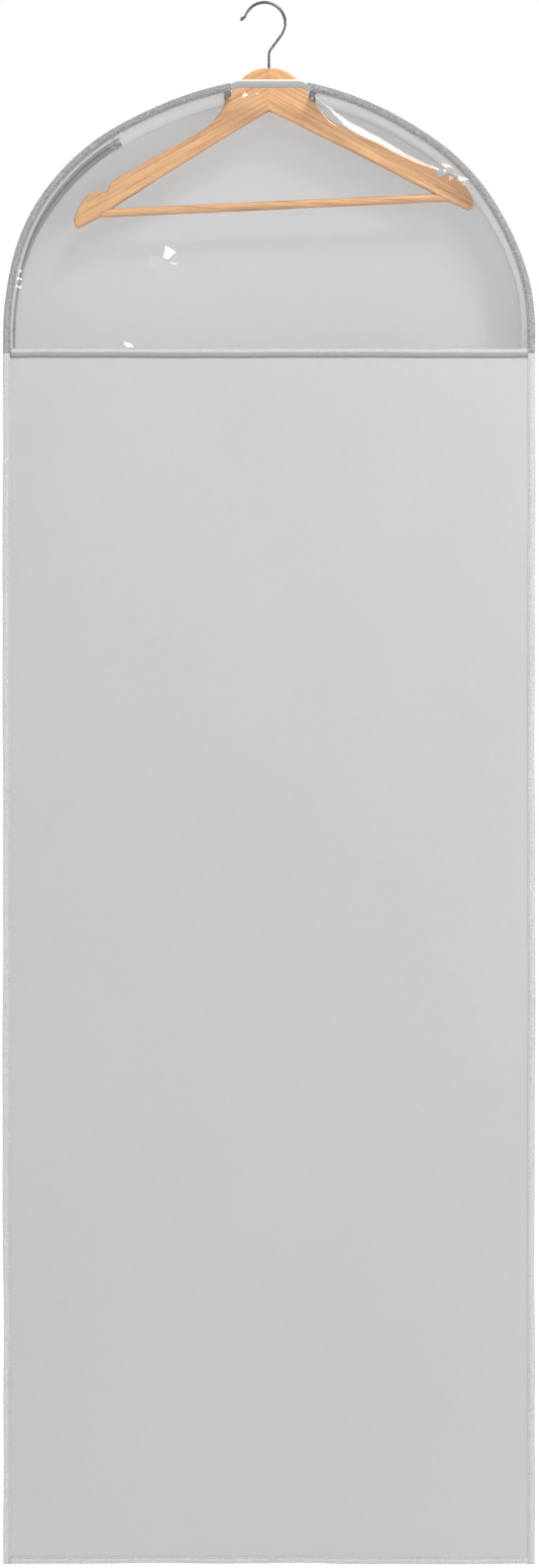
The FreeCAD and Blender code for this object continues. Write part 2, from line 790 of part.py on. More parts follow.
# ---------------------------------------------------------------- hook
lr, wr = D["loop_radius"], D["wire_radius"]
lc = (D["loop_shift"], -(lr - wr))
head_top = AZ + D["pocket_deep"] - 1.2


# the loop runs from the foot of its right side, over the top, to its left end
foot_a = math.atan2(-0.6, 0.8)
end_a = math.radians(160)
pt = (lc[0] + lr * math.cos(foot_a), lc[1] + lr * math.sin(foot_a))
# from the loop's foot a straight run comes down to the stem, with a rounded corner
t = pt[0] / 0.6
corner = (0.0, pt[1] - 0.8 * t)
bend = 13.0
turn = math.atan2(0.6, 0.8)
cut_back = bend * math.tan(turn / 2)
on_run = (corner[0] + 0.6 * cut_back, corner[1] + 0.8 * cut_back)
on_stem = (0.0, corner[1] - cut_back)
bend_c = (bend, on_stem[1])
tip = (lc[0] + lr * math.cos(end_a), lc[1] + lr * math.sin(end_a))
flare_r = 4.0
flare_c = (tip[0] + flare_r * math.cos(end_a), tip[1] + flare_r * math.sin(end_a))
flare_turn = math.radians(38)
fa = end_a + math.pi
fb = fa - flare_turn
tail0 = (flare_c[0] + flare_r * math.cos(fb), flare_c[1] + flare_r * math.sin(fb))
tdir = (math.sin(fb), -math.cos(fb))
tail1 = (tail0[0] + 2.6 * tdir[0], tail0[1] + 2.6 * tdir[1])

spine = doc.addObject("Sketcher::SketchObject", "Hook_path")
spine.Placement = FreeCAD.Placement(V(0, 0, 0), FreeCAD.Rotation(V(1, 0, 0), 90))


def seg(p, q):
    return Part.LineSegment(V(p[0], p[1], 0), V(q[0], q[1], 0))


def bow(c, r, a, b):
    return Part.ArcOfCircle(
        Part.Circle(V(c[0], c[1], 0), V(0, 0, 1), r), min(a, b), max(a, b)
    )


spine.addGeometry(seg((0.0, head_top), on_stem), False)
spine.addGeometry(bow(bend_c, bend, math.pi - turn, math.pi), False)
spine.addGeometry(seg(on_run, pt), False)
spine.addGeometry(bow(lc, lr, foot_a, end_a), False)
spine.addGeometry(bow(flare_c, flare_r, fb, fa), False)
spine.addGeometry(seg(tail0, tail1), False)
ring = doc.addObject("Sketcher::SketchObject", "Wire_section")
ring.Placement = FreeCAD.Placement(V(0, 0, head_top), FreeCAD.Rotation())
ring.addGeometry(Part.Circle(V(0, 0, 0), V(0, 0, 1), wr), False)
i = ring.addConstraint(Sketcher.Constraint("Radius", 0, wr))
ring.renameConstraint(i, "wire")
ring.setExpression("Constraints.wire", "Dims.wire_radius")
doc.recompute()
wire = doc.addObject("Part::Sweep", "Hook_wire")
wire.Sections = [ring]
wire.Spine = (spine, ["Edge%d" % (n + 1) for n in range(len(spine.Shape.Edges))])
wire.Solid = True
wire.Frenet = False
ball = doc.addObject("Part::Sphere", "Hook_ball")
ball.setExpression("Radius", "Dims.wire_radius * 1.35")
ball.Placement.Base = V(tail1[0], 0, tail1[1])
head = doc.addObject("Part::Cylinder", "Hook_head")
head.setExpression("Radius", "Dims.head_radius")
head.setExpression("Height", "Dims.head_long")
head.Placement.Base = V(0, 0, head_top - D["head_long"])
hook = doc.addObject("Part::MultiFuse", "Hook")
hook.Shapes = [wire, ball, head]
finish(hook, "swivel_hook")

# ---------------------------------------------------------------- check and write
doc.recompute()
bad = [
    o.Name
    for o in doc.Objects
    if any(w in str(s) for s in o.State for w in ("Invalid", "Error"))
]
assert not bad, "failed objects: %s" % bad
labels = [label for _, label in PARTS]
assert len(set(labels)) == len(labels)
for obj, label in PARTS:
    shape = obj.Shape
    assert not shape.isNull() and shape.isValid(), label
    assert len(shape.Solids) == 1, (label, len(shape.Solids))
    assert shape.Volume > 0.5, label
for obj, label in PARTS:
    obj.Shape.exportStep(os.path.join("parts", label + ".step"))
    b = obj.Shape.BoundBox
    print(
        "%-28s %9.1f mm3  x %7.1f %7.1f  y %6.1f %6.1f  z %8.1f %8.1f"
        % (label, obj.Shape.Volume, b.XMin, b.XMax, b.YMin, b.YMax, b.ZMin, b.ZMax)
    )
print(len(PARTS), "nodes")
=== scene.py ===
"""Looks of the garment bag: soft bound shell, clear window, zipper, hanger and hook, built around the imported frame."""

import math

import bpy
import numpy as np
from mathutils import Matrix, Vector


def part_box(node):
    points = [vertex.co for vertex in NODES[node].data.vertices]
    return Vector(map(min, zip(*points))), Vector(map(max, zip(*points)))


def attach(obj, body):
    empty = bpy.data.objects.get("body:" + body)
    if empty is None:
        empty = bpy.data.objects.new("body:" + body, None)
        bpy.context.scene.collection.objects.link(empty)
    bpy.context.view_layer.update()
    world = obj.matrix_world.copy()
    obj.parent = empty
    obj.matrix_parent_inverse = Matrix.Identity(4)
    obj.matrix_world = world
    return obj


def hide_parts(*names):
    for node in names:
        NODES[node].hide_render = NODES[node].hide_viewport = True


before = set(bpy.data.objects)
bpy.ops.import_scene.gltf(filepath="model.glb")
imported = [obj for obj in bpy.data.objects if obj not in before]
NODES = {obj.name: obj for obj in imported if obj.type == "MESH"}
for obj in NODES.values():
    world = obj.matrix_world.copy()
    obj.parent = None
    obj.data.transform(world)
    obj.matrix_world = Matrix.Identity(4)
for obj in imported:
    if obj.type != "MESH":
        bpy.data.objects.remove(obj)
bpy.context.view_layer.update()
scene = bpy.context.scene
TAU = 2 * math.pi

# ------------------------------------------------------------------ camera, light, floor
AX = (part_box("front_side_binding_right")[1].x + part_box("front_side_binding_left")[0].x) * 500.0  # swivel axis, mm
HW = (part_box("front_side_binding_right")[1].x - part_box("front_side_binding_left")[0].x) * 500.0
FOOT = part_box("front_side_binding_right")[0].z * 1000.0
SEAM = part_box("front_side_binding_right")[1].z * 1000.0

cam_data = bpy.data.cameras.new("camera")
cam = bpy.data.objects.new("camera", cam_data)
scene.collection.objects.link(cam)
scene.camera = cam
DIST = 4.0
cam.location = (0.0056, -0.0375 - DIST, -0.8887)
cam.rotation_euler = (math.radians(90), 0, 0)
cam_data.sensor_fit = "AUTO"
cam_data.sensor_width = 36.0
cam_data.lens = 36.0 * DIST / 1.7698
cam_data.clip_start, cam_data.clip_end = 0.05, 200.0

scene.view_settings.view_transform = "Standard"
scene.view_settings.look = "None"
scene.view_settings.exposure = 0.0
scene.view_settings.gamma = 1.0

world = bpy.data.worlds.new("studio")
scene.world = world
world.use_nodes = True
wn = world.node_tree
wn.nodes.clear()
w_out = wn.nodes.new("ShaderNodeOutputWorld")
w_mix = wn.nodes.new("ShaderNodeMixShader")
w_path = wn.nodes.new("ShaderNodeLightPath")
w_seen = wn.nodes.new("ShaderNodeBackground")
w_light = wn.nodes.new("ShaderNodeBackground")
w_seen.inputs[0].default_value = (1, 1, 1, 1)
w_seen.inputs[1].default_value = 1.0
w_light.inputs[0].default_value = (1.0, 1.0, 1.0, 1)
w_light.inputs[1].default_value = 0.60
wn.links.new(w_path.outputs["Is Camera Ray"], w_mix.inputs[0])
wn.links.new(w_light.outputs[0], w_mix.inputs[1])
wn.links.new(w_seen.outputs[0], w_mix.inputs[2])
wn.links.new(w_mix.outputs[0], w_out.inputs[0])


def softbox(name, at, aim, size, watts, colour=(1, 1, 1)):
    d = bpy.data.lights.new(name, "AREA")
    d.shape = "RECTANGLE"
    d.size, d.size_y = size
    d.energy = watts
    d.color = colour
    o = bpy.data.objects.new(name, d)
    scene.collection.objects.link(o)
    o.location = at
    o.rotation_euler = (Vector(aim) - Vector(at)).to_track_quat("-Z", "Y").to_euler()
    return o


KEY = (0.95, -2.3, 2.1)
softbox("key_top", KEY, (0.0, 0.0, -0.6), (1.2, 1.05), 60, (1.0, 0.995, 0.985))
softbox("side_right", (1.35, -1.9, -0.35), (0.1, 0.0, -0.6), (0.4, 1.3), 12, (1.0, 1.0, 1.0))
softbox("fill_left", (-2.3, -2.9, -0.2), (0.0, 0.0, -0.9), (1.4, 1.8), 9, (1.0, 1.0, 1.0))
softbox("back_left", (-1.4, 2.6, 1.2), (0.0, 0.0, -0.6), (1.4, 1.4), 92)
softbox("back_right", (1.8, 2.6, 0.2), (0.0, 0.0, -0.6), (1.4, 1.4), 76)

# ------------------------------------------------------------------ outline of the bag, mm about the swivel axis
R1, R2, R3 = 284.1, 260.0, 422.45
A1, A2 = 0.2, 1.0128
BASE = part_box("right_side_gusset")[1].z * 1000.0
C1 = np.array([HW - R1, BASE])
C2 = C1 + (R1 - R2) * np.array([math.cos(A1), math.sin(A1)])
C3 = C2 + (R2 - R3) * np.array([math.cos(A2), math.sin(A2)])
L0 = BASE - FOOT
S1 = L0 + R1 * A1
S2 = S1 + R2 * (A2 - A1)
BW = 8.0  # binding width
GI = BW + 0.3  # inset of the gusset's film
Y_FACE = 37.2  # middle of the front film
NECK = 46.0
NECK_TOP, NECK_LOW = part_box("front_neck_binding")[1].z * 1000.0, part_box("front_neck_binding")[0].z * 1000.0


def s_at_x(x, d=0.0):
    """Length along the bound edge where the top arc at inset d passes x."""
    return S2 + R3 * (math.acos((x - C3[0]) / (R3 - d)) - A2)


def rail(s, d=0.0, side=1):
    """Point (x, z) and outward normal at length s along the edge, at inset d."""
    s = np.asarray(s, float)
    d = np.broadcast_to(np.asarray(d, float), s.shape)
    x, z = HW - d + 0 * s, FOOT + s
    nx, nz = np.ones_like(s), np.zeros_like(s)
    for c, r, s0, a0, m in (
        (C1, R1, L0, 0.0, (s > L0) & (s <= S1)),
        (C2, R2, S1, A1, (s > S1) & (s <= S2)),
        (C3, R3, S2, A2, s > S2),
    ):
        t = a0 + (s - s0) / r
        x = np.where(m, c[0] + (r - d) * np.cos(t), x)
        z = np.where(m, c[1] + (r - d) * np.sin(t), z)
        nx = np.where(m, np.cos(t), nx)
        nz = np.where(m, np.sin(t), nz)
    return side * x, z, side * nx, nz


def locate(x, z):
    """Length along the edge, inset and outward normal of points."""
    ax = np.abs(x)
    s, d = z - FOOT, HW - ax
    nx, nz = np.ones_like(s), np.zeros_like(s)
    up = z > BASE
    t1 = np.arctan2(z - C1[1], ax - C1[0])
    t2 = np.arctan2(z - C2[1], ax - C2[0])
    t3 = np.arctan2(z - C3[1], ax - C3[0])
    m1 = up & (t1 <= A1)
    m2 = up & ~m1 & (t2 <= A2)
    m3 = up & ~m1 & ~m2
    for c, r, s0, a0, t, m in ((C1, R1, L0, 0.0, t1, m1), (C2, R2, S1, A1, t2, m2), (C3, R3, S2, A2, t3, m3)):
        s = np.where(m, s0 + r * (t - a0), s)
        d = np.where(m, r - np.hypot(ax - c[0], z - c[1]), d)
        nx = np.where(m, np.cos(t), nx)
        nz = np.where(m, np.sin(t), nz)
    return s, d, nx * np.where(x < 0, -1, 1), nz


def ease(t):
    t = np.clip(t, 0, 1)
    return t * t * (3 - 2 * t)


LEAN_Y = [-36.9, -30, -22, -12, 0, 12, 22, 30, 36.9]
LEAN_V = [0, -0.14, -0.24, -0.22, 0.16, 0.62, 0.74, 0.46, 0]


def lean_amount(s):
    """How far the zipper side of the arch gusset leans inwards, mm, along the edge."""
    return 4.6 * ease((s - (L0 + 48)) / 150.0) * (1 - 0.75 * ease((s - S2) / 130.0))


def settle(P):
    """The hang of the cloth: gussets sag, bound edges wander. The straight run of the zipper stays true."""
    P = np.asarray(P, float)
    shape = P.shape
    P = P.reshape(-1, 3).copy()
    x, y, z = P.T.copy()
    s, d, nx, nz = locate(x, z)
    e = z - FOOT
    ay = np.abs(y)
    left, back = x < 0, y > 0
    ph = np.where(left, 1.7, 0.0) + np.where(back, 2.3, 0.0)
    rim = ease(1 - (d - 1.0) / 26.0)
    low = ease(1 - (e - 1.0) / 26.0)
    face = np.clip((ay - 12.0) / 24.9, 0, 1)
    quiet = ease(s / 80.0)
    near_neck = 1 - ease((s - (S2 + 180)) / 60.0)
    # bound edges: out of plane, then in plane
    wy = 0.75 * np.sin(s / 64.0 + 1.1 + ph) + 0.40 * np.sin(s / 23.5 + 0.4 + 2 * ph) + 0.16 * np.sin(s / 9.7 + ph)
    dy = face * rim * wy * quiet * near_neck
    wn_ = 0.40 * np.sin(s / 91.0 + 0.6 + ph) + 0.22 * np.sin(s / 31.0 + ph)
    dn = face * rim * wn_ * quiet * near_neck
    wb = 0.9 * np.sin(x / 52.0 + 0.7 + ph) + 0.45 * np.sin(x / 17.0 + ph)
    dy += face * low * wb * ease(d / 50.0)
    dz = face * low * (0.55 * np.sin(x / 66.0 + 2.0 + ph) + 0.25 * np.sin(x / 21.0 + ph)) * ease(d / 40.0)
    # gussets sag between the two flanges
    inside = ay < 36.9
    cup = 1 - (ay / 36.9) ** 2
    on_g = inside & (d < 22)
    side_fade = ease((e - 11.0) / 70.0)
    arch_w = ease((s - L0) / 120.0)
    right = (3.2 + 1.3 * np.sin(s / 143.0 + 0.5) + 0.8 * np.sin(s / 41.0)) * (1 - 0.45 * arch_w) * cup
    right += 0.35 * np.sin(y / 6.5 + s / 37.0) * cup
    right *= 1 - 0.7 * ease((s - (S2 + 150)) / 90.0)
    half = np.sin(math.pi * np.clip((ay - 12.0) / 24.9, 0, 1))
    leftv = (1.3 + 0.5 * np.sin(s / 77.0 + ph)) * half
    lean = np.interp(y, LEAN_Y, LEAN_V) * lean_amount(s)
    dn = dn - np.where(on_g, side_fade * np.where(left, leftv + lean, right), 0)
    on_b = inside & (e < 22) & (e > 4)
    sag = (2.6 + 0.9 * np.sin(x / 71.0 + 1.0)) * cup + 0.3 * np.sin(y / 7.0 + x / 33.0) * cup
    dz = dz - np.where(on_b, ease((d - BW - 0.5) / 45.0) * sag, 0)
    lean_left = 3.0 * ease((z - (BASE + 32)) / 110.0) * (1 - ease((z + 158) / 48.0))
    P[:, 0] = x + nx * dn - lean_left
    P[:, 1] = y + dy
    P[:, 2] = z + nz * dn + dz
    return P.reshape(shape)


# ------------------------------------------------------------------ meshes
def signed_volume(V, Q):
    a, b, c, d = (V[Q[:, i]] for i in range(4))
    v = np.einsum("ij,ij->i", a, np.cross(b, c)) + np.einsum("ij,ij->i", a, np.cross(c, d))
    return v.sum() / 6


def shell(G, thick):
    """A closed sheet of that thickness about a grid of points."""
    G = np.asarray(G, float)
    R, C, _ = G.shape
    n = np.cross(np.gradient(G, axis=0), np.gradient(G, axis=1))
    n /= np.linalg.norm(n, axis=2, keepdims=True) + 1e-12
    t = thick if np.ndim(thick) == 0 else np.asarray(thick)[..., None]
    V = np.concatenate([(G + n * t / 2).reshape(-1, 3), (G - n * t / 2).reshape(-1, 3)])
    N = R * C
    k = np.arange(N).reshape(R, C)
    a, b, c, d = k[:-1, :-1].ravel(), k[:-1, 1:].ravel(), k[1:, 1:].ravel(), k[1:, :-1].ravel()
    ring = np.concatenate([k[0, :-1], k[:-1, -1], k[-1, :0:-1], k[:0:-1, 0]])
    nxt = np.roll(ring, -1)
    Q = np.concatenate(
        [
            np.stack([a, b, c, d], 1),
            np.stack([a, d, c, b], 1) + N,
            np.stack([nxt, ring, ring + N, nxt + N], 1),
        ]
    )
    if signed_volume(V, Q) < 0:
        Q = Q[:, ::-1]
    return V, Q


def tube_ring(n, r, squash=1.0):
    a = np.arange(n) * TAU / n
    return np.stack([np.cos(a) * r, np.sin(a) * r * squash], 1)


def make(name, V, Q, mat, body, stands_for=(), run=None, smooth=True):
    """A mesh object from points in mm and quads, riding on a body."""
    me = bpy.data.meshes.new(name)
    V = np.asarray(V, float)
    Q = np.asarray(Q, np.int32)
    co = (V + np.array([AX, 0, 0])) * 0.001
    me.vertices.add(len(co))
    me.vertices.foreach_set("co", co.astype(np.float32).ravel())
    me.loops.add(Q.size)
    me.loops.foreach_set("vertex_index", Q.ravel())
    me.polygons.add(len(Q))
    me.polygons.foreach_set("loop_start", np.arange(len(Q), dtype=np.int32) * Q.shape[1])
    me.update(calc_edges=True)
    me.validate()
    me.polygons.foreach_set("use_smooth", np.full(len(me.polygons), smooth))
    if run is not None:
        at = me.attributes.new("run", "FLOAT_VECTOR", "POINT")
        at.data.foreach_set("vector", (np.asarray(run, float) * 0.001).astype(np.float32).ravel())
    me.materials.append(mat)
    me.update()
    o = bpy.data.objects.new(name, me)
    scene.collection.objects.link(o)
    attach(o, body)
    if stands_for:
        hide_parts(*stands_for)
    return o


def run_of(G):
    """Lengths along both directions of a grid, for weaves that follow it."""
    a = np.concatenate([np.zeros((1, G.shape[1])), np.cumsum(np.linalg.norm(np.diff(G, axis=0), axis=2), 0)])
    b = np.concatenate([np.zeros((G.shape[0], 1)), np.cumsum(np.linalg.norm(np.diff(G, axis=1), axis=2), 1)], 1)
    r = np.stack([a, b, 0 * a], 2).reshape(-1, 3)
    return np.concatenate([r, r])


def cloth(name, G, thick, mat, stands_for=None, body="bag", grid_settled=False):
    """A sheet piece on a grid, settled."""
    H = G if grid_settled else settle(G)
    V, Q = shell(H, thick)
    o = make(name, V, Q, mat, body, stands_for if stands_for is not None else (), run_of(H))
    return o


# ------------------------------------------------------------------ materials
def material(name):
    m = bpy.data.materials.new(name)
    m.use_nodes = True
    nt = m.node_tree
    nt.nodes.clear()
    out = nt.nodes.new("ShaderNodeOutputMaterial")
    b = nt.nodes.new("ShaderNodeBsdfPrincipled")
    nt.links.new(b.outputs[0], out.inputs[0])
    return m, nt, b, out


def lin(r, g=None, b=None):
    """8-bit display colour to the linear colour a shader takes."""
    v = (r, r if g is None else g, r if b is None else b)
    f = lambda c: c / 12.92 if c <= 0.04045 else ((c + 0.055) / 1.055) ** 2.4
    return tuple(f(c / 255.0) for c in v) + (1.0,)


def coords(nt, kind="Object", scale=None, rot=None):
    if kind == "run":
        n = nt.nodes.new("ShaderNodeAttribute")
        n.attribute_name = "run"
        src = n.outputs["Vector"]
    else:
        n = nt.nodes.new("ShaderNodeTexCoord")
        src = n.outputs[kind]
    if scale is None and rot is None:
        return src
    m = nt.nodes.new("ShaderNodeMapping")
    nt.links.new(src, m.inputs["Vector"])
    if scale is not None:
        m.inputs["Scale"].default_value = scale
    if rot is not None:
        m.inputs["Rotation"].default_value = rot
    return m.outputs[0]


def noise(nt, vec, scale, detail=2.0, rough=0.5, distortion=0.0):
    n = nt.nodes.new("ShaderNodeTexNoise")
    nt.links.new(vec, n.inputs["Vector"])
    n.inputs["Scale"].default_value = scale
    n.inputs["Detail"].default_value = detail
    n.inputs["Roughness"].default_value = rough
    n.inputs["Distortion"].default_value = distortion
    return n.outputs[0]


def wave(nt, vec, scale, direction="X", distortion=0.0, profile="SIN", detail=0.0, dscale=1.0):
    n = nt.nodes.new("ShaderNodeTexWave")
    n.wave_type = "BANDS"
    n.bands_direction = direction
    n.wave_profile = profile
    nt.links.new(vec, n.inputs["Vector"])
    n.inputs["Scale"].default_value = scale
    n.inputs["Distortion"].default_value = distortion
    n.inputs["Detail"].default_value = detail
    n.inputs["Detail Scale"].default_value = dscale
    return n.outputs["Fac"] if "Fac" in n.outputs else n.outputs[1]


def ramp(nt, fac, stops):
    n = nt.nodes.new("ShaderNodeValToRGB")
    nt.links.new(fac, n.inputs[0])
    el = n.color_ramp.elements
    while len(el) < len(stops):
        el.new(0.5)
    for e, (p, c) in zip(el, stops):
        e.position = p
        e.color = c if len(c) == 4 else (*c, 1)
    return n.outputs[0]


def math_node(nt, op, a, b=None):
    n = nt.nodes.new("ShaderNodeMath")
    n.operation = op
    for i, v in enumerate((a, b)):
        if v is None:
            continue
        if isinstance(v, (int, float)):
            n.inputs[i].default_value = v
        else:
            nt.links.new(v, n.inputs[i])
    return n.outputs[0]


def span(nt, fac, lo, hi):
    n = nt.nodes.new("ShaderNodeMapRange")
    nt.links.new(fac, n.inputs[0])
    n.inputs["To Min"].default_value = lo
    n.inputs["To Max"].default_value = hi
    return n.outputs[0]


def mix_colour(nt, fac, a, b, mode="MIX"):
    n = nt.nodes.new("ShaderNodeMix")
    n.data_type = "RGBA"
    n.blend_type = mode
    for i, v in ((0, fac), (6, a), (7, b)):
        if isinstance(v, (int, float)):
            n.inputs[i].default_value = v
        elif isinstance(v, tuple):
            n.inputs[i].default_value = v
        else:
            nt.links.new(v, n.inputs[i])
    return n.outputs[2]


def bump(nt, height, distance, strength=1.0, normal=None):
    n = nt.nodes.new("ShaderNodeBump")
    n.inputs["Strength"].default_value = strength
    n.inputs["Distance"].default_value = distance
    nt.links.new(height, n.inputs["Height"])
    if normal is not None:
        nt.links.new(normal, n.inputs["Normal"])
    return n.outputs[0]


def shade(c, k):
    return (c[0] * k, c[1] * k, c[2] * k, 1.0)


def soft_film(name, colour, rough=0.44, sheen=0.0, through=0.3):
    """Matt translucent-looking sheet: faint clouding, leathery micro grain, soft creases."""
    m, nt, b, out = material(name)
    v = coords(nt)
    cloud = noise(nt, v, 2.6, 3.0, 0.55)
    fine = noise(nt, v, 160.0, 2.0, 0.6)
    c = ramp(nt, cloud, [(0.25, shade(colour, 0.965)), (0.5, colour), (0.78, shade(colour, 1.03))])
    c = mix_colour(nt, 0.35, c, ramp(nt, fine, [(0.3, shade(colour, 0.965)), (0.7, shade(colour, 1.02))]))
    nt.links.new(c, b.inputs["Base Color"])
    nt.links.new(span(nt, noise(nt, v, 35.0, 3.0), rough - 0.05, rough + 0.06), b.inputs["Roughness"])
    b.inputs["Specular IOR Level"].default_value = 0.42
    b.inputs["Sheen Weight"].default_value = sheen
    crease = noise(nt, v, 11.0, 3.0, 0.5, 0.8)
    n1 = bump(nt, crease, 0.0022, 0.35)
    grain = nt.nodes.new("ShaderNodeTexVoronoi")
    grain.feature = "SMOOTH_F1"
    nt.links.new(v, grain.inputs["Vector"])
    grain.inputs["Scale"].default_value = 850.0
    n2 = bump(nt, grain.outputs["Distance"], 0.00012, 0.35, n1)
    nt.links.new(n2, b.inputs["Normal"])
    glow = nt.nodes.new("ShaderNodeBsdfTranslucent")
    nt.links.new(c, glow.inputs["Color"])
    both = nt.nodes.new("ShaderNodeMixShader")
    both.inputs[0].default_value = through
    nt.links.new(b.outputs[0], both.inputs[1])
    nt.links.new(glow.outputs[0], both.inputs[2])
    nt.links.new(both.outputs[0], out.inputs[0])
    return m


def tape_cloth(name, colour, dark, rib=1.05, mottle=0.5, fleck=0.0, through=0.0):
    """Woven binding tape: cross ribs, darker specks between them, a soft fuzz."""
    m, nt, b, out = material(name)
    v = coords(nt, "run")
    ribs = wave(nt, coords(nt, "run", (1, 1, 1)), TAU / 2 / (rib * 0.001) / math.pi * 0.5, "X", 0.6, "SIN", 1.0, 2.0)
    weft = wave(nt, v, 330.0, "Y", 0.4)
    o = coords(nt)
    cloud = noise(nt, o, 55.0, 4.0, 0.62)
    mott = noise(nt, o, 420.0, 3.0, 0.7)
    c = ramp(nt, ribs, [(0.1, shade(dark, 1.0)), (0.6, colour)])
    c = mix_colour(nt, 0.5, c, ramp(nt, cloud, [(0.32, dark), (0.62, colour)]))
    c = mix_colour(nt, mottle, c, ramp(nt, mott, [(0.35, shade(dark, 0.9)), (0.55, shade(colour, 1.03))]))
    if fleck:
        specks = noise(nt, o, 760.0, 2.0, 0.6)
        c = mix_colour(nt, fleck, c, ramp(nt, specks, [(0.40, shade(dark, 0.72)), (0.50, shade(colour, 0.98)), (0.62, shade(colour, 1.42))]))
    nt.links.new(c, b.inputs["Base Color"])
    nt.links.new(span(nt, mott, 0.62, 0.82), b.inputs["Roughness"])
    b.inputs["Sheen Weight"].default_value = 0.12
    b.inputs["Sheen Roughness"].default_value = 0.5
    b.inputs["Specular IOR Level"].default_value = 0.3
    n1 = bump(nt, ribs, 0.00022, 0.7)
    n2 = bump(nt, weft, 0.00010, 0.4, n1)
    n3 = bump(nt, cloud, 0.0009, 0.35, n2)
    nt.links.new(n3, b.inputs["Normal"])
    if through:
        glow = nt.nodes.new("ShaderNodeBsdfTranslucent")
        nt.links.new(c, glow.inputs["Color"])
        both = nt.nodes.new("ShaderNodeMixShader")
        both.inputs[0].default_value = through
        nt.links.new(b.outputs[0], both.inputs[1])
        nt.links.new(glow.outputs[0], both.inputs[2])
        nt.links.new(both.outputs[0], out.inputs[0])
    return m


def bar_cloth(name, flat, roll, line, reach=0.012, marks=(0.16, 0.24, 0.44, 0.56)):
    """Tape over the window seam: its rolled edge is painted paler than the flat part, a painted highlight where light
    falls on the roll; a dark line runs along its stitches.
    """
    m, nt, b, out = material(name)
    v = coords(nt, "run")
    cut = nt.nodes.new("ShaderNodeSeparateXYZ")
    nt.links.new(v, cut.inputs[0])
    across = nt.nodes.new("ShaderNodeMapRange")
    nt.links.new(cut.outputs["Y"], across.inputs[0])
    across.inputs["From Max"].default_value = reach
    # painted highlight: across the tape the roll colour is lighter than the flat colour
    c = ramp(nt, across.outputs[0], [(0.0, line), (marks[0], line), (marks[1], flat), (marks[2], flat), (marks[3], roll), (1.0, roll)])
    o = coords(nt)
    mott = noise(nt, o, 420.0, 3.0, 0.7)
    c = mix_colour(nt, 1.0, c, ramp(nt, mott, [(0.32, (0.86, 0.86, 0.86, 1)), (0.6, (1, 1, 1, 1))]), "MULTIPLY")
    nt.links.new(c, b.inputs["Base Color"])
    nt.links.new(span(nt, mott, 0.5, 0.7), b.inputs["Roughness"])
    b.inputs["Specular IOR Level"].default_value = 0.35
    ribs = wave(nt, v, 0.5 / 0.00105, "X", 0.6, "SIN", 1.0, 2.0)
    n1 = bump(nt, ribs, 0.00018, 0.6)
    nt.links.new(bump(nt, noise(nt, o, 60.0, 3.0), 0.0007, 0.3, n1), b.inputs["Normal"])
    return m


def thread_mat(name, colour):
    m, nt, b, out = material(name)
    v = coords(nt)
    tw = noise(nt, v, 1800.0, 2.0, 0.6)
    nt.links.new(ramp(nt, tw, [(0.3, shade(colour, 0.82)), (0.7, shade(colour, 1.05))]), b.inputs["Base Color"])
    b.inputs["Roughness"].default_value = 0.6
    b.inputs["Sheen Weight"].default_value = 0.2
    nt.links.new(bump(nt, tw, 0.0001, 0.5), b.inputs["Normal"])
    return m


def clear_film(name):
    """Clear sheet: passes what is behind it, mirrors softly along its wrinkles, with a faint haze."""
    m, nt, b, out = material(name)
    nt.nodes.remove(b)
    v = coords(nt)
    thin = nt.nodes.new("ShaderNodeBsdfTransparent")
    thin.inputs[0].default_value = (0.995, 0.997, 1.0, 1)
    gloss = nt.nodes.new("ShaderNodeBsdfGlossy")
    gloss.inputs["Color"].default_value = (1, 1, 1, 1)
    nt.links.new(span(nt, noise(nt, v, 18.0, 3.0), 0.035, 0.085), gloss.inputs["Roughness"])
    haze = nt.nodes.new("ShaderNodeBsdfDiffuse")
    haze.inputs[0].default_value = (0.86, 0.87, 0.885, 1)
    n1 = bump(nt, noise(nt, v, 22.0, 2.0, 0.5, 0.9), 0.0016, 0.05)
    n2 = bump(nt, noise(nt, v, 420.0, 2.0), 0.00006, 0.15, n1)
    nt.links.new(n2, gloss.inputs["Normal"])
    fres = nt.nodes.new("ShaderNodeFresnel")
    fres.inputs["IOR"].default_value = 1.46
    nt.links.new(n1, fres.inputs["Normal"])
    veil = span(nt, noise(nt, v, 7.0, 4.0, 0.6), 0.014, 0.055)
    mix1 = nt.nodes.new("ShaderNodeMixShader")
    # each face works only on the way in, so that the far face of the sheet doesn't mirror
    side = nt.nodes.new("ShaderNodeNewGeometry")
    entry = math_node(nt, "SUBTRACT", 1.0, side.outputs["Backfacing"])
    nt.links.new(math_node(nt, "MULTIPLY", veil, entry), mix1.inputs[0])
    nt.links.new(thin.outputs[0], mix1.inputs[1])
    nt.links.new(haze.outputs[0], mix1.inputs[2])
    mix2 = nt.nodes.new("ShaderNodeMixShader")
    nt.links.new(math_node(nt, "MULTIPLY", fres.outputs[0], entry), mix2.inputs[0])
    nt.links.new(mix1.outputs[0], mix2.inputs[1])
    nt.links.new(gloss.outputs[0], mix2.inputs[2])
    nt.links.new(mix2.outputs[0], out.inputs[0])
    return m


def metal(name, colour, rough, scale=900.0, stretch=(1, 1, 1), scratch=0.00003):
    m, nt, b, out = material(name)
    v = coords(nt, "Object", stretch)
    n = noise(nt, v, scale, 3.0, 0.6)
    big = noise(nt, v, scale * 0.06, 2.0, 0.5)
    nt.links.new(ramp(nt, big, [(0.3, shade(colour, 0.86)), (0.7, shade(colour, 1.08))]), b.inputs["Base Color"])
    b.inputs["Metallic"].default_value = 1.0
    nt.links.new(span(nt, n, rough - 0.06, rough + 0.10), b.inputs["Roughness"])
    nt.links.new(bump(nt, n, scratch, 0.5), b.inputs["Normal"])
    return m


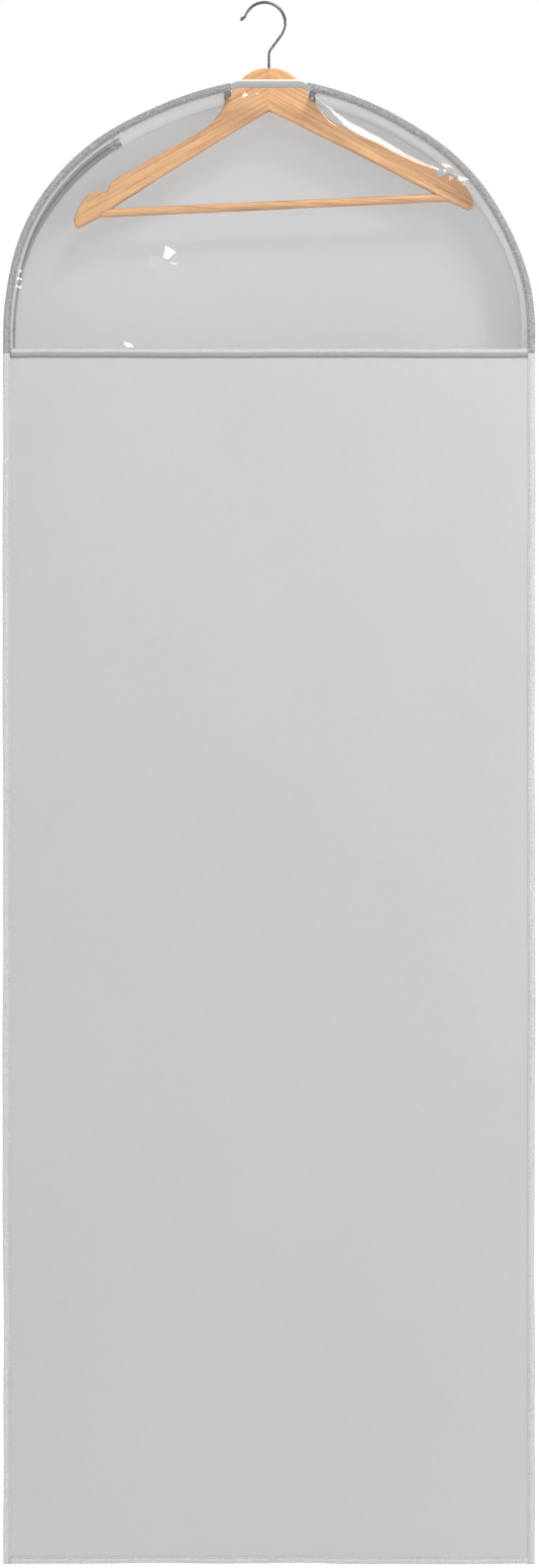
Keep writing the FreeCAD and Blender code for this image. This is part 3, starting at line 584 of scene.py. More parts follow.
def wood(name, angle, light, mid, dark, tint=1.0):
    """Beech: long grain along the arm, fine pores and ray flecks, a satin varnish."""
    m, nt, b, out = material(name)
    turned = coords(nt, "Object", None, (0, angle, 0))
    st = nt.nodes.new("ShaderNodeMapping")
    nt.links.new(turned, st.inputs["Vector"])
    st.inputs["Scale"].default_value = (3.6, 60.0, 80.0)
    long_ = noise(nt, st.outputs[0], 1.6, 5.0, 0.6, 0.9)
    fine = nt.nodes.new("ShaderNodeMapping")
    nt.links.new(turned, fine.inputs["Vector"])
    fine.inputs["Scale"].default_value = (18.0, 420.0, 520.0)
    fibre = noise(nt, fine.outputs[0], 1.3, 3.0, 0.65)
    fleck = nt.nodes.new("ShaderNodeMapping")
    nt.links.new(turned, fleck.inputs["Vector"])
    fleck.inputs["Scale"].default_value = (120.0, 500.0, 900.0)
    spots = noise(nt, fleck.outputs[0], 1.0, 1.0, 0.5)
    rings = wave(nt, st.outputs[0], 0.40, "Z", 3.4, "SAW", 3.0, 0.9)
    c = ramp(nt, long_, [(0.36, dark), (0.47, mid), (0.62, light)])
    c = mix_colour(nt, 0.42, c, ramp(nt, rings, [(0.0, shade(mid, 0.94)), (0.70, light), (0.94, shade(dark, 0.74)), (1.0, shade(mid, 0.9))]))
    c = mix_colour(nt, 0.34, c, ramp(nt, fibre, [(0.42, dark), (0.56, light)]))
    c = mix_colour(nt, 0.16, c, ramp(nt, spots, [(0.60, light), (0.72, shade(dark, 0.7))]))
    nt.links.new(c, b.inputs["Base Color"])
    nt.links.new(span(nt, fibre, 0.30, 0.46), b.inputs["Roughness"])
    b.inputs["Specular IOR Level"].default_value = 0.45
    b.inputs["Coat Weight"].default_value = 0.25
    b.inputs["Coat Roughness"].default_value = 0.22
    n1 = bump(nt, fibre, 0.00010, 0.5)
    n2 = bump(nt, long_, 0.0004, 0.25, n1)
    nt.links.new(n2, b.inputs["Normal"])
    return m


M_PANEL = soft_film("grey_film", lin(208, 208, 208), 0.46, through=0.20)
M_BACK = soft_film("grey_film_back", lin(208, 208, 208), 0.50, through=0.65)
# the gusset is the same grey film as the panels, painted lighter to lift the shade on it where it is seen edge-on
# through the window
M_GUSSET = soft_film("grey_film_gusset", lin(228, 228, 228), 0.48, through=0.67)
M_CLEAR = clear_film("clear_film")
M_ARCH = tape_cloth("arch_tape", lin(171, 171, 172), lin(137, 137, 139), fleck=0.7)
# the back arch tape is the same tape as the front one, painted lighter to lift the shade it shows where it is seen
# through the window
M_ARCH_B = tape_cloth("arch_tape_back", lin(214, 214, 215), lin(194, 194, 196), fleck=0.2, through=0.60)
M_SIDE = tape_cloth("side_tape", lin(214, 214, 215), lin(194, 194, 196), mottle=0.42, fleck=0.25)
M_SIDE_B = tape_cloth("side_tape_back", lin(198, 198, 199), lin(176, 176, 178), mottle=0.42, fleck=0.25, through=0.45)
# painted shade: the gusset end tapes are coloured darker than the arch tape to stand in for the shade in the corners
# beside the neck
M_END = tape_cloth("gusset_end_tape", lin(140, 140, 141), lin(100, 100, 102), fleck=0.4)
# the paler roll colour of the neck and window tapes is a painted highlight on the rolled edge; the back neck tape
# carries a weaker one
M_NECK = bar_cloth("neck_tape", lin(175, 173, 168), lin(244, 241, 235), lin(166, 165, 163), 0.0105, (0.08, 0.16, 0.62, 0.74))
M_NECK_B = bar_cloth("neck_tape_back", lin(180, 178, 174), lin(206, 204, 200), lin(160, 159, 157), 0.0105, (0.08, 0.16, 0.62, 0.74))
M_BAR = bar_cloth("bar_tape", lin(168, 167, 166), lin(208, 205, 201), lin(138, 138, 138))
M_ZTAPE = tape_cloth("zipper_tape_cloth", lin(204, 204, 205), lin(180, 180, 182), rib=0.8, mottle=0.4, through=0.35)
M_THREAD = thread_mat("thread", lin(176, 177, 180))
M_THREAD_D = thread_mat("thread_dark", lin(112, 112, 115))
M_COIL = metal("coil_nylon", lin(128, 128, 131), 0.45, 600.0)
M_COIL.node_tree.nodes["Principled BSDF"].inputs["Metallic"].default_value = 0.0
M_ZINC = metal("zinc", lin(196, 197, 200), 0.30)
# dark steel colour, partly the hook's own and partly a painted reflection of dark surroundings the scene does not have
M_HOOK = metal("hook_steel", lin(112, 113, 116), 0.24, 500.0, (1, 1, 1))

# ------------------------------------------------------------------ panels
def columns(step):
    n = int(round(2 * HW / step))
    return np.linspace(-1, 1, n + 1)


def arch_rows(d, step):
    """Half widths and heights of a panel's rows from the window seam to the neck."""
    s_end = s_at_x(NECK, d)
    s0 = SEAM - FOOT
    n = int((s_end - s0) / step)
    s = np.linspace(s0, s_end, n + 1)
    x, z, _, _ = rail(s, d)
    top = NECK_TOP - 1.5
    xs = np.linspace(NECK, 36.0, 4)[1:]
    zs = np.linspace(z[-1], top, 4)[1:]
    return np.concatenate([x, xs]), np.concatenate([z, zs])


def edge_rise(x, z, reach, top=True):
    """0 at the bound edges, 1 well inside."""
    _, d, _, _ = locate(x, z)
    e = np.minimum(d, z - FOOT)
    if top:
        e = np.minimum(e, SEAM - z + 4)
    return 1 - np.exp(-np.clip(e - BW + 1.0, 0, None) / reach)


def pucker(along, into, wl, depth, phase=0.0):
    """Small gathers that start at a seam and die out."""
    a = np.sin(TAU * along / wl + phase + 1.3 * np.sin(along / 71.0 + phase))
    a = a + 0.5 * np.sin(TAU * along / (wl * 0.61) + 2.1 * phase)
    return depth * a * np.exp(-np.clip(into, 0, None) / 16.0) * ease(into / 3.0)


def front_offset(x, z):
    """How far the grey panel stands out of its plane, mm."""
    r = edge_rise(x, z, 55.0)
    t = (z - FOOT) / (SEAM - FOOT)
    u = x / HW
    a = 4.6 + 1.1 * np.sin(2.1 * u + 0.6) + 1.2 * np.sin(z / 310.0 + 1.3 * u)
    a += 0.9 * np.sin(x / 62.0 + 0.9 * np.sin(z / 260.0)) * (0.4 + 0.6 * t)
    a += 0.45 * np.sin(x / 27.0 + z / 190.0 + 1.0) * np.sin(z / 170.0)
    y = a * r
    y += pucker(x, SEAM - 8 - z, 31.0, 0.30) + pucker(x, z - FOOT - 10, 37.0, 0.35, 1.0)
    y += pucker(z, HW - 10 - x, 43.0, 0.32, 2.0) + pucker(z, HW - 10 + x, 47.0, 0.32, 3.0)
    return y


u = columns(5.0)
z = np.linspace(FOOT + 1.5, SEAM, int((SEAM - FOOT) / 5.0))
X, Z = np.meshgrid(u * (HW - 1.5), z)
G = np.stack([X, -Y_FACE - front_offset(X, Z), Z], 2)
front_panel = cloth("front_panel_cloth", G, 0.6, M_PANEL, ("front_panel",))

# back panel, one piece up to the neck
xs, zs = arch_rows(1.5, 3.2)
zb = np.linspace(FOOT + 1.5, SEAM, int((SEAM - FOOT) / 6.5))[:-1]
wr = np.concatenate([np.full(len(zb), HW - 1.5), xs])
zr = np.concatenate([zb, zs])
u = columns(5.5)
X, Z = wr[:, None] * u[None, :], np.repeat(zr[:, None], len(u), 1)


def back_offset(x, z):
    r = edge_rise(x, z, 60.0, top=False)
    a = 3.8 + 1.2 * np.sin(z / 270.0 + 0.4) + 1.0 * np.sin(x / 58.0 + 0.8 * np.sin(z / 230.0)) + 0.4 * np.sin(x / 24.0 - z / 150.0)
    return a * r + pucker(z, HW - 10 - np.abs(x), 45.0, 0.3, 1.5) * (z < BASE) + pucker(x, z - FOOT - 10, 37.0, 0.35, 2.0)


G = np.stack([X, Y_FACE + back_offset(X, Z), Z], 2)
arch_area = float(np.trapezoid(2 * xs, zs)) if hasattr(np, "trapezoid") else float(np.trapz(2 * xs, zs))
back_panel = cloth("back_panel_cloth", G, 0.6, M_BACK, ("back_panel",))

# clear window: taut at its seams, ridged over the hanger's shoulders
PX = 1.1173


def px(a, b):
    return ((a - 271.46) * PX, -888.7 + (792.0 - b) * PX)


def ridge_along(x, z, pts, up_slope, up_width, crest, down_reach):
    """A drape line: the sheet rises towards the line from below and falls off above it."""
    pts = np.array(pts, float)
    best = np.full(x.shape, 1e9)
    q = np.zeros(x.shape)
    tt = np.zeros(x.shape)
    total = np.linalg.norm(np.diff(pts, axis=0), axis=1).sum()
    run = 0.0
    for a, b in zip(pts[:-1], pts[1:]):
        v = b - a
        L = np.hypot(*v)
        v = v / L
        px_, pz_ = x - a[0], z - a[1]
        along = np.clip(px_ * v[0] + pz_ * v[1], 0, L)
        cx, cz = px_ - along * v[0], pz_ - along * v[1]
        dist = np.hypot(cx, cz)
        n = np.array([-v[1], v[0]])
        if n[1] < 0:
            n = -n
        sign = np.where(cx * n[0] + cz * n[1] >= 0, 1.0, -1.0)
        m = dist < best
        best = np.where(m, dist, best)
        q = np.where(m, dist * sign, q)
        tt = np.where(m, (run + along) / total, tt)
        run += L
    fade = ease(tt / 0.22) * ease((1 - tt) / 0.22)
    w = up_width
    above = crest - up_slope * w * (1 - np.exp(-np.clip(q, 0, None) / w))
    rise = crest * np.exp(-np.clip(-q, 0, None) / down_reach)
    # keep the sheet from dipping below its plane above the line
    h = np.where(q >= 0, np.maximum(above, 0), rise)
    return h * fade, q, tt


def blob(x, z, at, sx, sz, h, rot=0.0):
    c, s_ = math.cos(rot), math.sin(rot)
    dx, dz = x - at[0], z - at[1]
    a, b = (c * dx + s_ * dz) / sx, (-s_ * dx + c * dz) / sz
    return h * np.exp(-(a * a + b * b) / 2)


RIGHT_LINE = [px(329, 107), px(335, 112.5), px(342, 119.5), px(350, 127.5), px(358, 133.5), px(370, 140), px(386, 147.5), px(404, 157), px(420, 164.5), px(436, 170), px(450, 174)]
RIGHT_WIDE = [0.0, 1.4, 3.0, 5.4, 7.0, 6.8, 6.0, 4.8, 3.2, 1.6, 0.6]  # how wide the falling flank is at those points
LEFT_LINE = [px(214, 126), px(190, 144), px(150, 165), px(110, 186)]
COLLAR_LINE = [px(316, 101), px(321, 109), px(327, 117), px(334, 124), px(342, 129), px(348, 132)]
CAM = np.array([5.6, -4037.5, -888.7])


def facing(x, z):
    """Slope of the film at a point that throws the key light at the camera."""
    P = np.array([x + AX, -38.0, z])
    l = np.array(KEY) * 1000.0 - P
    v = CAM - P
    h = l / np.linalg.norm(l) + v / np.linalg.norm(v)
    return np.array([h[0], h[2]]) / abs(h[1])


def flank(x, z, pts, wide, slope=0.34, tail=2.2, reach=34.0):
    """A drape line with a falling flank of even slope above it, as wide as told."""
    pts = np.array(pts, float)
    best, q, w = np.full(x.shape, 1e9), np.zeros(x.shape), np.zeros(x.shape)
    for a, b, wa, wb in zip(pts[:-1], pts[1:], wide[:-1], wide[1:]):
        v = b - a
        L = np.hypot(*v)
        v = v / L
        dx, dz = x - a[0], z - a[1]
        k = np.clip((dx * v[0] + dz * v[1]) / L, 0, 1)
        cx, cz = dx - k * L * v[0], dz - k * L * v[1]
        dist = np.hypot(cx, cz)
        n = np.array([-v[1], v[0]])
        n = n if n[1] > 0 else -n
        m = dist < best
        best = np.where(m, dist, best)
        q = np.where(m, np.where(cx * n[0] + cz * n[1] >= 0, dist, -dist), q)
        w = np.where(m, wa + (wb - wa) * k, w)
    crest = slope * (w + tail)
    up = np.clip(q, 0, None)
    above = crest - slope * (np.minimum(up, w) + tail * (1 - np.exp(-np.clip(up - w, 0, None) / tail)))
    return np.where(q >= 0, above, crest * np.exp(-np.clip(-q, 0, None) / reach)), q


def facet(x, z, at, high, wide, reach=26.0, k=1.0):
    """A fold that swells from below and falls over an even patch towards the light."""
    g = facing(*at)
    m = np.hypot(*g)
    n = g / m
    dx, dz = x - at[0], z - at[1]
    a, c = dx * n[0] + dz * n[1], dx * n[1] - dz * n[0]
    crest = k * m * high
    f = np.clip(1 - (a + high / 2) / high, 0, 1)
    f = np.where(a < -high / 2, np.exp((a + high / 2) / reach), f)
    return crest * f * np.exp(-(c / wide) ** 2 / 2)


def saw(x, z, at, period, wide, high):
    """Small folds one above the other, each falling towards the light."""
    g = facing(*at)
    m = np.hypot(*g)
    n = g / m
    dx, dz = x - at[0], z - at[1]
    f = (dx * n[0] * 0.35 + dz * n[1]) / period
    f = f - np.floor(f)
    lift = np.where(f < 0.26, f / 0.26, (1 - f) / 0.74) * 0.74 * period * m
    plane = np.clip(0.26 * (wide - dx), 0, 0.52 * wide) * 0.6
    return (lift + plane) * np.exp(-((dx / wide) ** 4)) * np.exp(-((dz / high) ** 4))


def window_offset(x, z):
    r = edge_rise(x, z, 34.0, top=False)
    low = 1 - np.exp(-np.clip(z - SEAM - 4, 0, None) / 30.0)
    y = r * low * (2.6 + 0.8 * np.sin(x / 71.0 + 0.4) + 0.5 * np.sin(x / 33.0 + z / 60.0))
    h, q = flank(x, z, RIGHT_LINE, RIGHT_WIDE)
    y = y + h + 0.05 * np.sin(x / 3.4) * np.exp(-((q - 5) / 4.0) ** 2)
    h, q = flank(x, z, COLLAR_LINE, [0.0, 0.9, 1.1, 0.9, 0.5, 0.0], 0.34, 1.2, 9.0)
    y = np.maximum(y, y + h)
    h, q, t = ridge_along(x, z, LEFT_LINE, 0.16, 14.0, 1.9, 30.0)
    y = y + h
    for at, high, wide in (
        (px(171, 257), 16.0, 10.5),
        (px(246.5, 96.5), 7.0, 4.5),
        (px(454, 168), 4.4, 4.4),
        (px(456, 175), 4.6, 5.0),
        (px(468, 182), 4.4, 4.2),
        (px(109, 143), 4.4, 4.4),
        (px(117, 140), 4.6, 4.6),
        (px(125, 136), 5.0, 4.4),
        (px(101, 152), 3.6, 4.0),
        (px(122, 129), 3.6, 5.0),
    ):
        y = y + facet(x, z, at, high, wide)
    for at, sx, sz, hh, rot in (
        (px(500, 245), 12.0, 1.8, 0.35, 0.2),
        (px(503, 252), 10.0, 1.6, 0.3, 0.1),
        (px(262, 98), 13.0, 1.6, 0.55, -0.42),
        (px(266, 104), 10.0, 1.6, 0.45, -0.38),
    ):
        y = y + blob(x, z, at, sx, sz, hh, rot)
    y = y + pucker(x, z - SEAM - 4, 24.0, 0.16, 0.5)
    s, d, _, _ = locate(x, z)
    y = y + pucker(s, d - 10, 21.0, 0.12, 1.0)
    y = y + 0.22 * np.sin(x / 17.0 + 1.5 * np.sin(z / 60.0)) * r * low
    y = y * ease((z - SEAM - 3.6) / 6.0)
    # two places where the film stands flat so that a small fold there keeps its own slope
    for at, wide, high in ((px(18, 286), 13.0, 27.0), (px(134, 350), 32.0, 12.0)):
        y = y * (1 - 0.9 * np.exp(-(((x - at[0]) / wide) ** 4) - ((z - at[1]) / high) ** 4))
    y = y + saw(x, z, px(15.8, 286), 7.4, 9.5, 20.0)
    y = y * ease((d - 6.8) / 1.8)
    return y + facet(x, z, px(135.5, 353.0), 8.4, 20.0, 20.0, 1.0) * ease((z - SEAM - 3.4) / 2.0)


xs, zs = arch_rows(1.5, 1.7)
u = columns(1.8)
X, Z = xs[:, None] * u[None, :], np.repeat(zs[:, None], len(u), 1)
G = np.stack([X, -Y_FACE - window_offset(X, Z), Z], 2)
window = cloth("front_window_film", G, 0.3, M_CLEAR, ("front_window",))

# ------------------------------------------------------------------ gussets
def gusset(s0, s1, y0, y1, side, ns, ny, d=GI):
    s = np.linspace(s0, s1, ns)
    y = np.linspace(y0, y1, ny)
    x, z, _, _ = rail(s, d, side)
    return np.stack([np.repeat(x[:, None], ny, 1), np.repeat(y[None, :], ns, 0), np.repeat(z[:, None], ny, 1)], 2)


NECK_GAP = (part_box("neck_end_binding_right")[0].x * 1000.0 - AX) - 6.4
S_NECK = s_at_x(NECK_GAP, GI)
S_NECK_LEFT = s_at_x(NECK_GAP - 2.4, GI)
YG = 36.95


def gcloth(name, s0, s1, y0, y1, side, node, ny, d=GI, step=5.0):
    ns = max(8, int((s1 - s0) / step))
    G = gusset(s0, s1, y0, y1, side, ns, ny, d)
    return cloth(name, G, 0.6, M_GUSSET, (node,))


gcloth("right_side_gusset_cloth", BW, L0, -YG, YG, 1, "right_side_gusset", 25)
gcloth("right_arch_gusset_cloth", L0 - 0.4, S_NECK, -YG, YG, 1, "right_arch_gusset", 25, step=4.0)
gcloth("left_side_gusset_front_cloth", BW, L0, -YG, -12.0, -1, "left_side_gusset_front", 11)
gcloth("left_side_gusset_back_cloth", BW, L0, 12.0, YG, -1, "left_side_gusset_back", 11)
gcloth("left_arch_gusset_front_cloth", L0 - 0.4, S2, -YG, -12.0, -1, "left_arch_gusset_front", 13, step=4.0)
gcloth("left_arch_gusset_back_cloth", L0 - 0.4, S2, 12.0, YG, -1, "left_arch_gusset_back", 13, step=4.0)
gcloth("left_arch_gusset_top_cloth", S2 - 0.4, S_NECK_LEFT, -YG, YG, -1, "left_arch_gusset_top", 25, step=4.0)
gcloth("left_gusset_foot_cloth", BW, 23.0, -14.0, 14.0, -1, "left_gusset_foot", 9, d=BW, step=2.0)

x = np.linspace(-(HW - GI), HW - 10.3, 120)
y = np.linspace(-YG, YG, 25)
X, Y = np.meshgrid(x, y, indexing="ij")
cloth("bottom_gusset_cloth", np.stack([X, Y, 0 * X + FOOT + GI], 2), 0.6, M_GUSSET, ("bottom_gusset",))

# ------------------------------------------------------------------ folded bindings
def u_profile(width, half_gap=0.65, puff=0.35, seam_at=8.0, legs=9):
    """Middle line of a tape folded over a raw edge, as (inset, y): one leg, the fold, the other leg."""
    n = np.linspace(width, 1.0, legs)
    up = puff * np.sin(math.pi * np.clip((seam_at - n) / (seam_at - 1.0), 0, 1)) - 0.12 * np.exp(-((n - seam_at) / 0.8) ** 2)
    leg = np.stack([n, -half_gap - up], 1)
    a = np.linspace(-math.pi / 2, math.pi / 2, 7)[1:-1]
    r = half_gap
    fold = np.stack([1.0 - r * np.cos(a), r * np.sin(a)], 1)
    other = leg[::-1] * np.array([1, -1])
    return np.concatenate([leg, fold, other])


def edge_strip(s, side, plane_y, prof):
    """Grid of a folded tape along the bound edge."""
    rows = []
    for d, oy in prof:
        x, z, _, _ = rail(s, d, side)
        rows.append(np.stack([x, np.full_like(x, plane_y + oy), z], 1))
    return np.stack(rows, 1)


PROF = u_profile(BW, seam_at=6.4)
PROF_ARCH = u_profile(BW, puff=0.55, seam_at=6.4)
S_SEAM = SEAM - FOOT
S_END = s_at_x(44.0)
for where, py in (("front", -Y_FACE), ("back", Y_FACE)):
    for side, word in ((1, "right"), (-1, "left")):
        s = np.linspace(S_SEAM, S_END, int((S_END - S_SEAM) / 3.5))
        cloth("%s_arch_binding_%s_tape" % (where, word), edge_strip(s, side, py, PROF_ARCH), 0.7, M_ARCH if where == "front" else M_ARCH_B, ("%s_arch_binding_%s" % (where, word),))
        s = np.linspace(0.0, S_SEAM + 0.3, int(S_SEAM / 4.5))
        cloth("%s_side_binding_%s_tape" % (where, word), edge_strip(s, side, py, PROF), 0.7, M_SIDE if where == "front" else M_SIDE_B, ("%s_side_binding_%s" % (where, word),))
    # hem
    x = np.linspace(-(HW - BW + 0.4), HW - BW + 0.4, 150)
    hem = np.stack([np.stack([x, np.full_like(x, py + 1.04 * oy), np.full_like(x, FOOT + d)], 1) for d, oy in PROF], 1)
    cloth(where + "_hem_binding_tape", hem, 0.7, M_SIDE if where == "front" else M_SIDE_B, (where + "_hem_binding",))
    # neck: straight over the hanger, sloping to the arch at its ends
    x = np.linspace(-NECK - 1.0, NECK + 1.0, 60)
    end_z = float(rail(np.array([s_at_x(NECK)]), 0.0)[1][0])
    drop = (NECK_TOP - end_z)
    top = NECK_TOP - drop * ease((np.abs(x) - 34.0) / 13.0)
    prof = u_profile(NECK_TOP - NECK_LOW, half_gap=1.05, puff=0.55, seam_at=7.2)
    band = np.stack([np.stack([x, np.full_like(x, py + oy), top - d], 1) for d, oy in prof], 1)
    cloth(where + "_neck_binding_tape", band, 0.7, M_NECK if where == "front" else M_NECK_B, (where + "_neck_binding",), grid_settled=True)

def bar_profile():
    """The window tape: a rolled upper edge, then flat down to its lower stitching."""
    n = np.array([9.6, 9.0, 8.3, 7.8, 7.3, 6.6, 5.8, 5.0, 4.2, 3.4, 2.7, 2.0, 1.5, 1.0])
    y = np.array([0.7, 0.9, 0.95, 0.75, 0.95, 1.05, 1.1, 1.2, 1.5, 1.85, 2.05, 2.0, 1.75, 1.4])
    a = np.linspace(-math.pi / 2, math.pi / 2, 8)[1:-1]
    fold = np.stack([1.0 - 0.9 * np.cos(a), 0.2 * (a / (math.pi / 2)) + 1.2 * np.sin(a)], 1)
    leg = np.stack([n, -y], 1)
    other = np.stack([n[::-1], np.full(len(n), 1.0)], 1)
    return np.concatenate([leg, fold, other])


# tape over the window seam, folded at its upper edge
x = np.linspace(-(HW - BW - 0.2), HW - BW - 0.2, 190)
prof = bar_profile()
wob = 0.25 * np.sin(x / 47.0) + 0.12 * np.sin(x / 15.0)
bar = np.stack([np.stack([x, np.full_like(x, -Y_FACE + 0.35 + oy - (0.25 if oy < 0 else 0.0)), SEAM + 4.4 - d + wob], 1) for d, oy in prof], 1)
cloth("window_crossbar_tape", bar, 0.7, M_BAR, ("window_crossbar",))

# bindings over the two cut ends of the gusset at the neck
for side, word in ((1, "right"), (-1, "left")):
    y = np.linspace(-35.6, 35.6, 24)
    n = np.linspace(7.6, 0.8, 6)
    a = np.linspace(-math.pi / 2, math.pi / 2, 7)[1:-1]
    prof = np.concatenate([np.stack([n, np.full_like(n, -0.72)], 1), np.stack([0.8 - 0.72 * np.cos(a), 0.72 * np.sin(a)], 1), np.stack([n[::-1], np.full_like(n, 0.72)], 1)])
    cols = []
    for t, off in prof:
        xx = NECK_GAP - (0.9 if side > 0 else 3.3) + t
        s_here = s_at_x(xx, GI)
        px_, pz_, nx_, nz_ = rail(np.array([s_here]), GI + off, side)
        cols.append(np.stack([np.full_like(y, px_[0]), y, np.full_like(y, pz_[0])], 1))
    cloth("neck_end_binding_%s_tape" % word, np.stack(cols, 1), 0.6, M_END, ("neck_end_binding_" + word,))

# ------------------------------------------------------------------ stitching
def stitch_run(P, T, N, pitch, length, radius, lift=0.0):
    """Short rounded stitches along a line: P points, T directions, N outward of the cloth."""
    seg = np.linalg.norm(np.diff(P, axis=0), axis=1)
    run = np.concatenate([[0], np.cumsum(seg)])
    at = np.arange(pitch * 0.7, run[-1] - pitch * 0.5, pitch)
    f = lambda A: np.stack([np.interp(at, run, A[:, i]) for i in range(3)], 1)
    C, D, U = f(P), f(T), f(N)
    D /= np.linalg.norm(D, axis=1, keepdims=True)
    U -= D * np.einsum("ij,ij->i", U, D)[:, None]
    U /= np.linalg.norm(U, axis=1, keepdims=True)
    B = np.cross(D, U)
    h = length / 2
    rings = [(-h, -0.30, 0.35), (-h * 0.7, 0.05, 0.95), (h * 0.7, 0.05, 0.95), (h, -0.30, 0.35)]
    ang = np.arange(4) * TAU / 4 + TAU / 8
    V = []
    for t, up, k in rings:
        for a in ang:
            V.append(C + D * t + U * (up * radius + lift + math.sin(a) * radius * k) + B * (math.cos(a) * radius * k))
    V = np.stack(V, 1)  # n x 16 x 3
    q = []
    for r in range(3):
        for k in range(4):
            q.append([r * 4 + k, r * 4 + (k + 1) % 4, (r + 1) * 4 + (k + 1) % 4, (r + 1) * 4 + k])
    q.append([3, 2, 1, 0])
    q.append([12, 13, 14, 15])
    q = np.array(q)
    Q = (q[None] + 16 * np.arange(len(V))[:, None, None]).reshape(-1, 4)
    V = V.reshape(-1, 3)
    if signed_volume(V[:16], q) < 0:
        Q = Q[:, ::-1]
    return V, Q


def merged(parts):
    Vs, Qs, k = [], [], 0
    for V, Q in parts:
        Vs.append(V)
        Qs.append(Q + k)
        k += len(V)
    return np.concatenate(Vs), np.concatenate(Qs)


def line_on_edge(s, side, d, y):
    x, z, _, _ = rail(s, d, side)
    P = settle(np.stack([x, np.full_like(x, y), z], 1))
    return P, np.gradient(P, axis=0)


PITCH, STITCH, THICK = 4.0, 3.2, 0.28
for where, py, k in (("front", -Y_FACE, 1), ("back", Y_FACE, 1)):
    for kind, s0, s1, mat in (("arch", S_SEAM + 4, S_END - 2, M_THREAD_D), ("side", 3.0, S_SEAM - 1, M_THREAD)):
        parts = []
        for side in (1, -1):
            s = np.arange(s0, s1, 4.0)
            for fy in (-1, 1):
                P, T = line_on_edge(s, side, 6.4, py)
                P = P + np.array([0, fy * (0.65 + 0.35 + 0.02), 0])
                parts.append(stitch_run(P, T, np.tile([0.0, fy, 0.0], (len(P), 1)), PITCH, STITCH, THICK))
        V, Q = merged(parts)
        make("%s_%s_stitching" % (where, kind), V, Q, mat, "bag", ())
    parts = []
    for d in (3.0, 6.6):
        x = np.arange(-(HW - 4), HW - 4, 4.0)
        P = settle(np.stack([x, np.full_like(x, py), np.full_like(x, FOOT + d)], 1))
        for fy in (-1, 1):
            off = 0.65 + 0.35 + (0.33 if d < 5 else 0.02)
            parts.append(stitch_run(P + np.array([0, fy * off, 0]), np.gradient(P, axis=0), np.tile([0.0, fy, 0.0], (len(P), 1)), PITCH, STITCH, THICK))
    V, Q = merged(parts)
    make("%s_hem_stitching" % where, V, Q, M_THREAD, "bag", ())
parts = []
x = np.arange(-(HW - 12), HW - 12, 4.0)
wob = 0.25 * np.sin(x / 47.0) + 0.12 * np.sin(x / 15.0)
P = settle(np.stack([x, np.full_like(x, -Y_FACE + 0.35 - 1.0 - 0.10 - 0.35 + 0.02), SEAM + 4.4 - 7.8 + wob], 1))
parts.append(stitch_run(P, np.gradient(P, axis=0), np.tile([0.0, -1.0, 0.0], (len(P), 1)), PITCH, STITCH, THICK))
x = np.arange(-NECK + 2, NECK - 2, 3.0)
for py in (-Y_FACE, Y_FACE):
    for fy in (-1, 1):
        P = np.stack([x, np.full_like(x, py + fy * 1.42), np.full_like(x, NECK_TOP - 7.2)], 1)
        parts.append(stitch_run(P, np.gradient(P, axis=0), np.tile([0.0, fy, 0.0], (len(P), 1)), PITCH, STITCH, THICK))
V, Q = merged(parts)
make("seam_and_neck_stitching", V, Q, M_THREAD, "bag", ())

# ------------------------------------------------------------------ zipper
Z_FOOT_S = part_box("zipper_tape_front")[0].z * 1000.0 - FOOT
Z_TOP_S = S2 + 7.0
s = np.linspace(Z_FOOT_S, Z_TOP_S, int((Z_TOP_S - Z_FOOT_S) / 4.0))
for word, sg in (("front", -1), ("back", 1)):
    y = sg * np.array([2.2, 2.8, 3.6, 5.0, 7.0, 9.0, 11.0, 12.4, 14.6])
    cols = []
    for yy in y:
        d = GI + 0.05 + 0.62 * float(ease((abs(yy) - 9.0) / 2.6))
        x, z, _, _ = rail(s, d, -1)
        cols.append(np.stack([x, np.full_like(x, yy), z], 1))
    cloth("zipper_tape_%s_cloth" % word, np.stack(cols, 1), 0.45, M_ZTAPE, ("zipper_tape_" + word,))

    # coil: one loop of nylon after another, standing on the tape's inner edge
    pitch = 1.62
    sc = np.arange(Z_FOOT_S + 1.0, S2 - 2.0, pitch) + (pitch / 2 if sg > 0 else 0.0)
    x, z, nx_, nz_ = rail(sc, GI, -1)
    n3 = np.stack([nx_, 0 * nx_, nz_], 1)
    t3 = np.stack([nz_, 0 * nx_, -nx_], 1)
    m_, w_ = 9, 4
    ring = np.arange(m_) * TAU / m_
    V = np.zeros((len(sc), m_, w_, 3))
    for i, a in enumerate(ring):
        cy, cn = 2.12 + 1.03 * math.cos(a), 0.84 * math.sin(a)
        for j in range(w_):
            b = j * TAU / w_
            rr = 0.34 * math.cos(b)
            yy = sg * (cy + rr * math.cos(a))
            nn = cn + rr * math.sin(a)
            V[:, i, j] = np.stack([x, 0 * x + yy, z], 1) + n3 * nn + t3 * (0.34 * math.sin(b) + 0.22 * math.sin(a))
    V = settle(V)
    q = []
    for i in range(m_):
        for j in range(w_):
            q.append([i * w_ + j, ((i + 1) % m_) * w_ + j, ((i + 1) % m_) * w_ + (j + 1) % w_, i * w_ + (j + 1) % w_])
    q = np.array(q)
    V = V.reshape(len(sc), -1, 3)
    if signed_volume(V[0], q) < 0:
        q = q[:, ::-1]
    Q = (q[None] + m_ * w_ * np.arange(len(sc))[:, None, None]).reshape(-1, 4)
    make("zipper_coil_%s_loops" % word, V.reshape(-1, 3), Q, M_COIL, "bag", ("zipper_coil_" + word,))

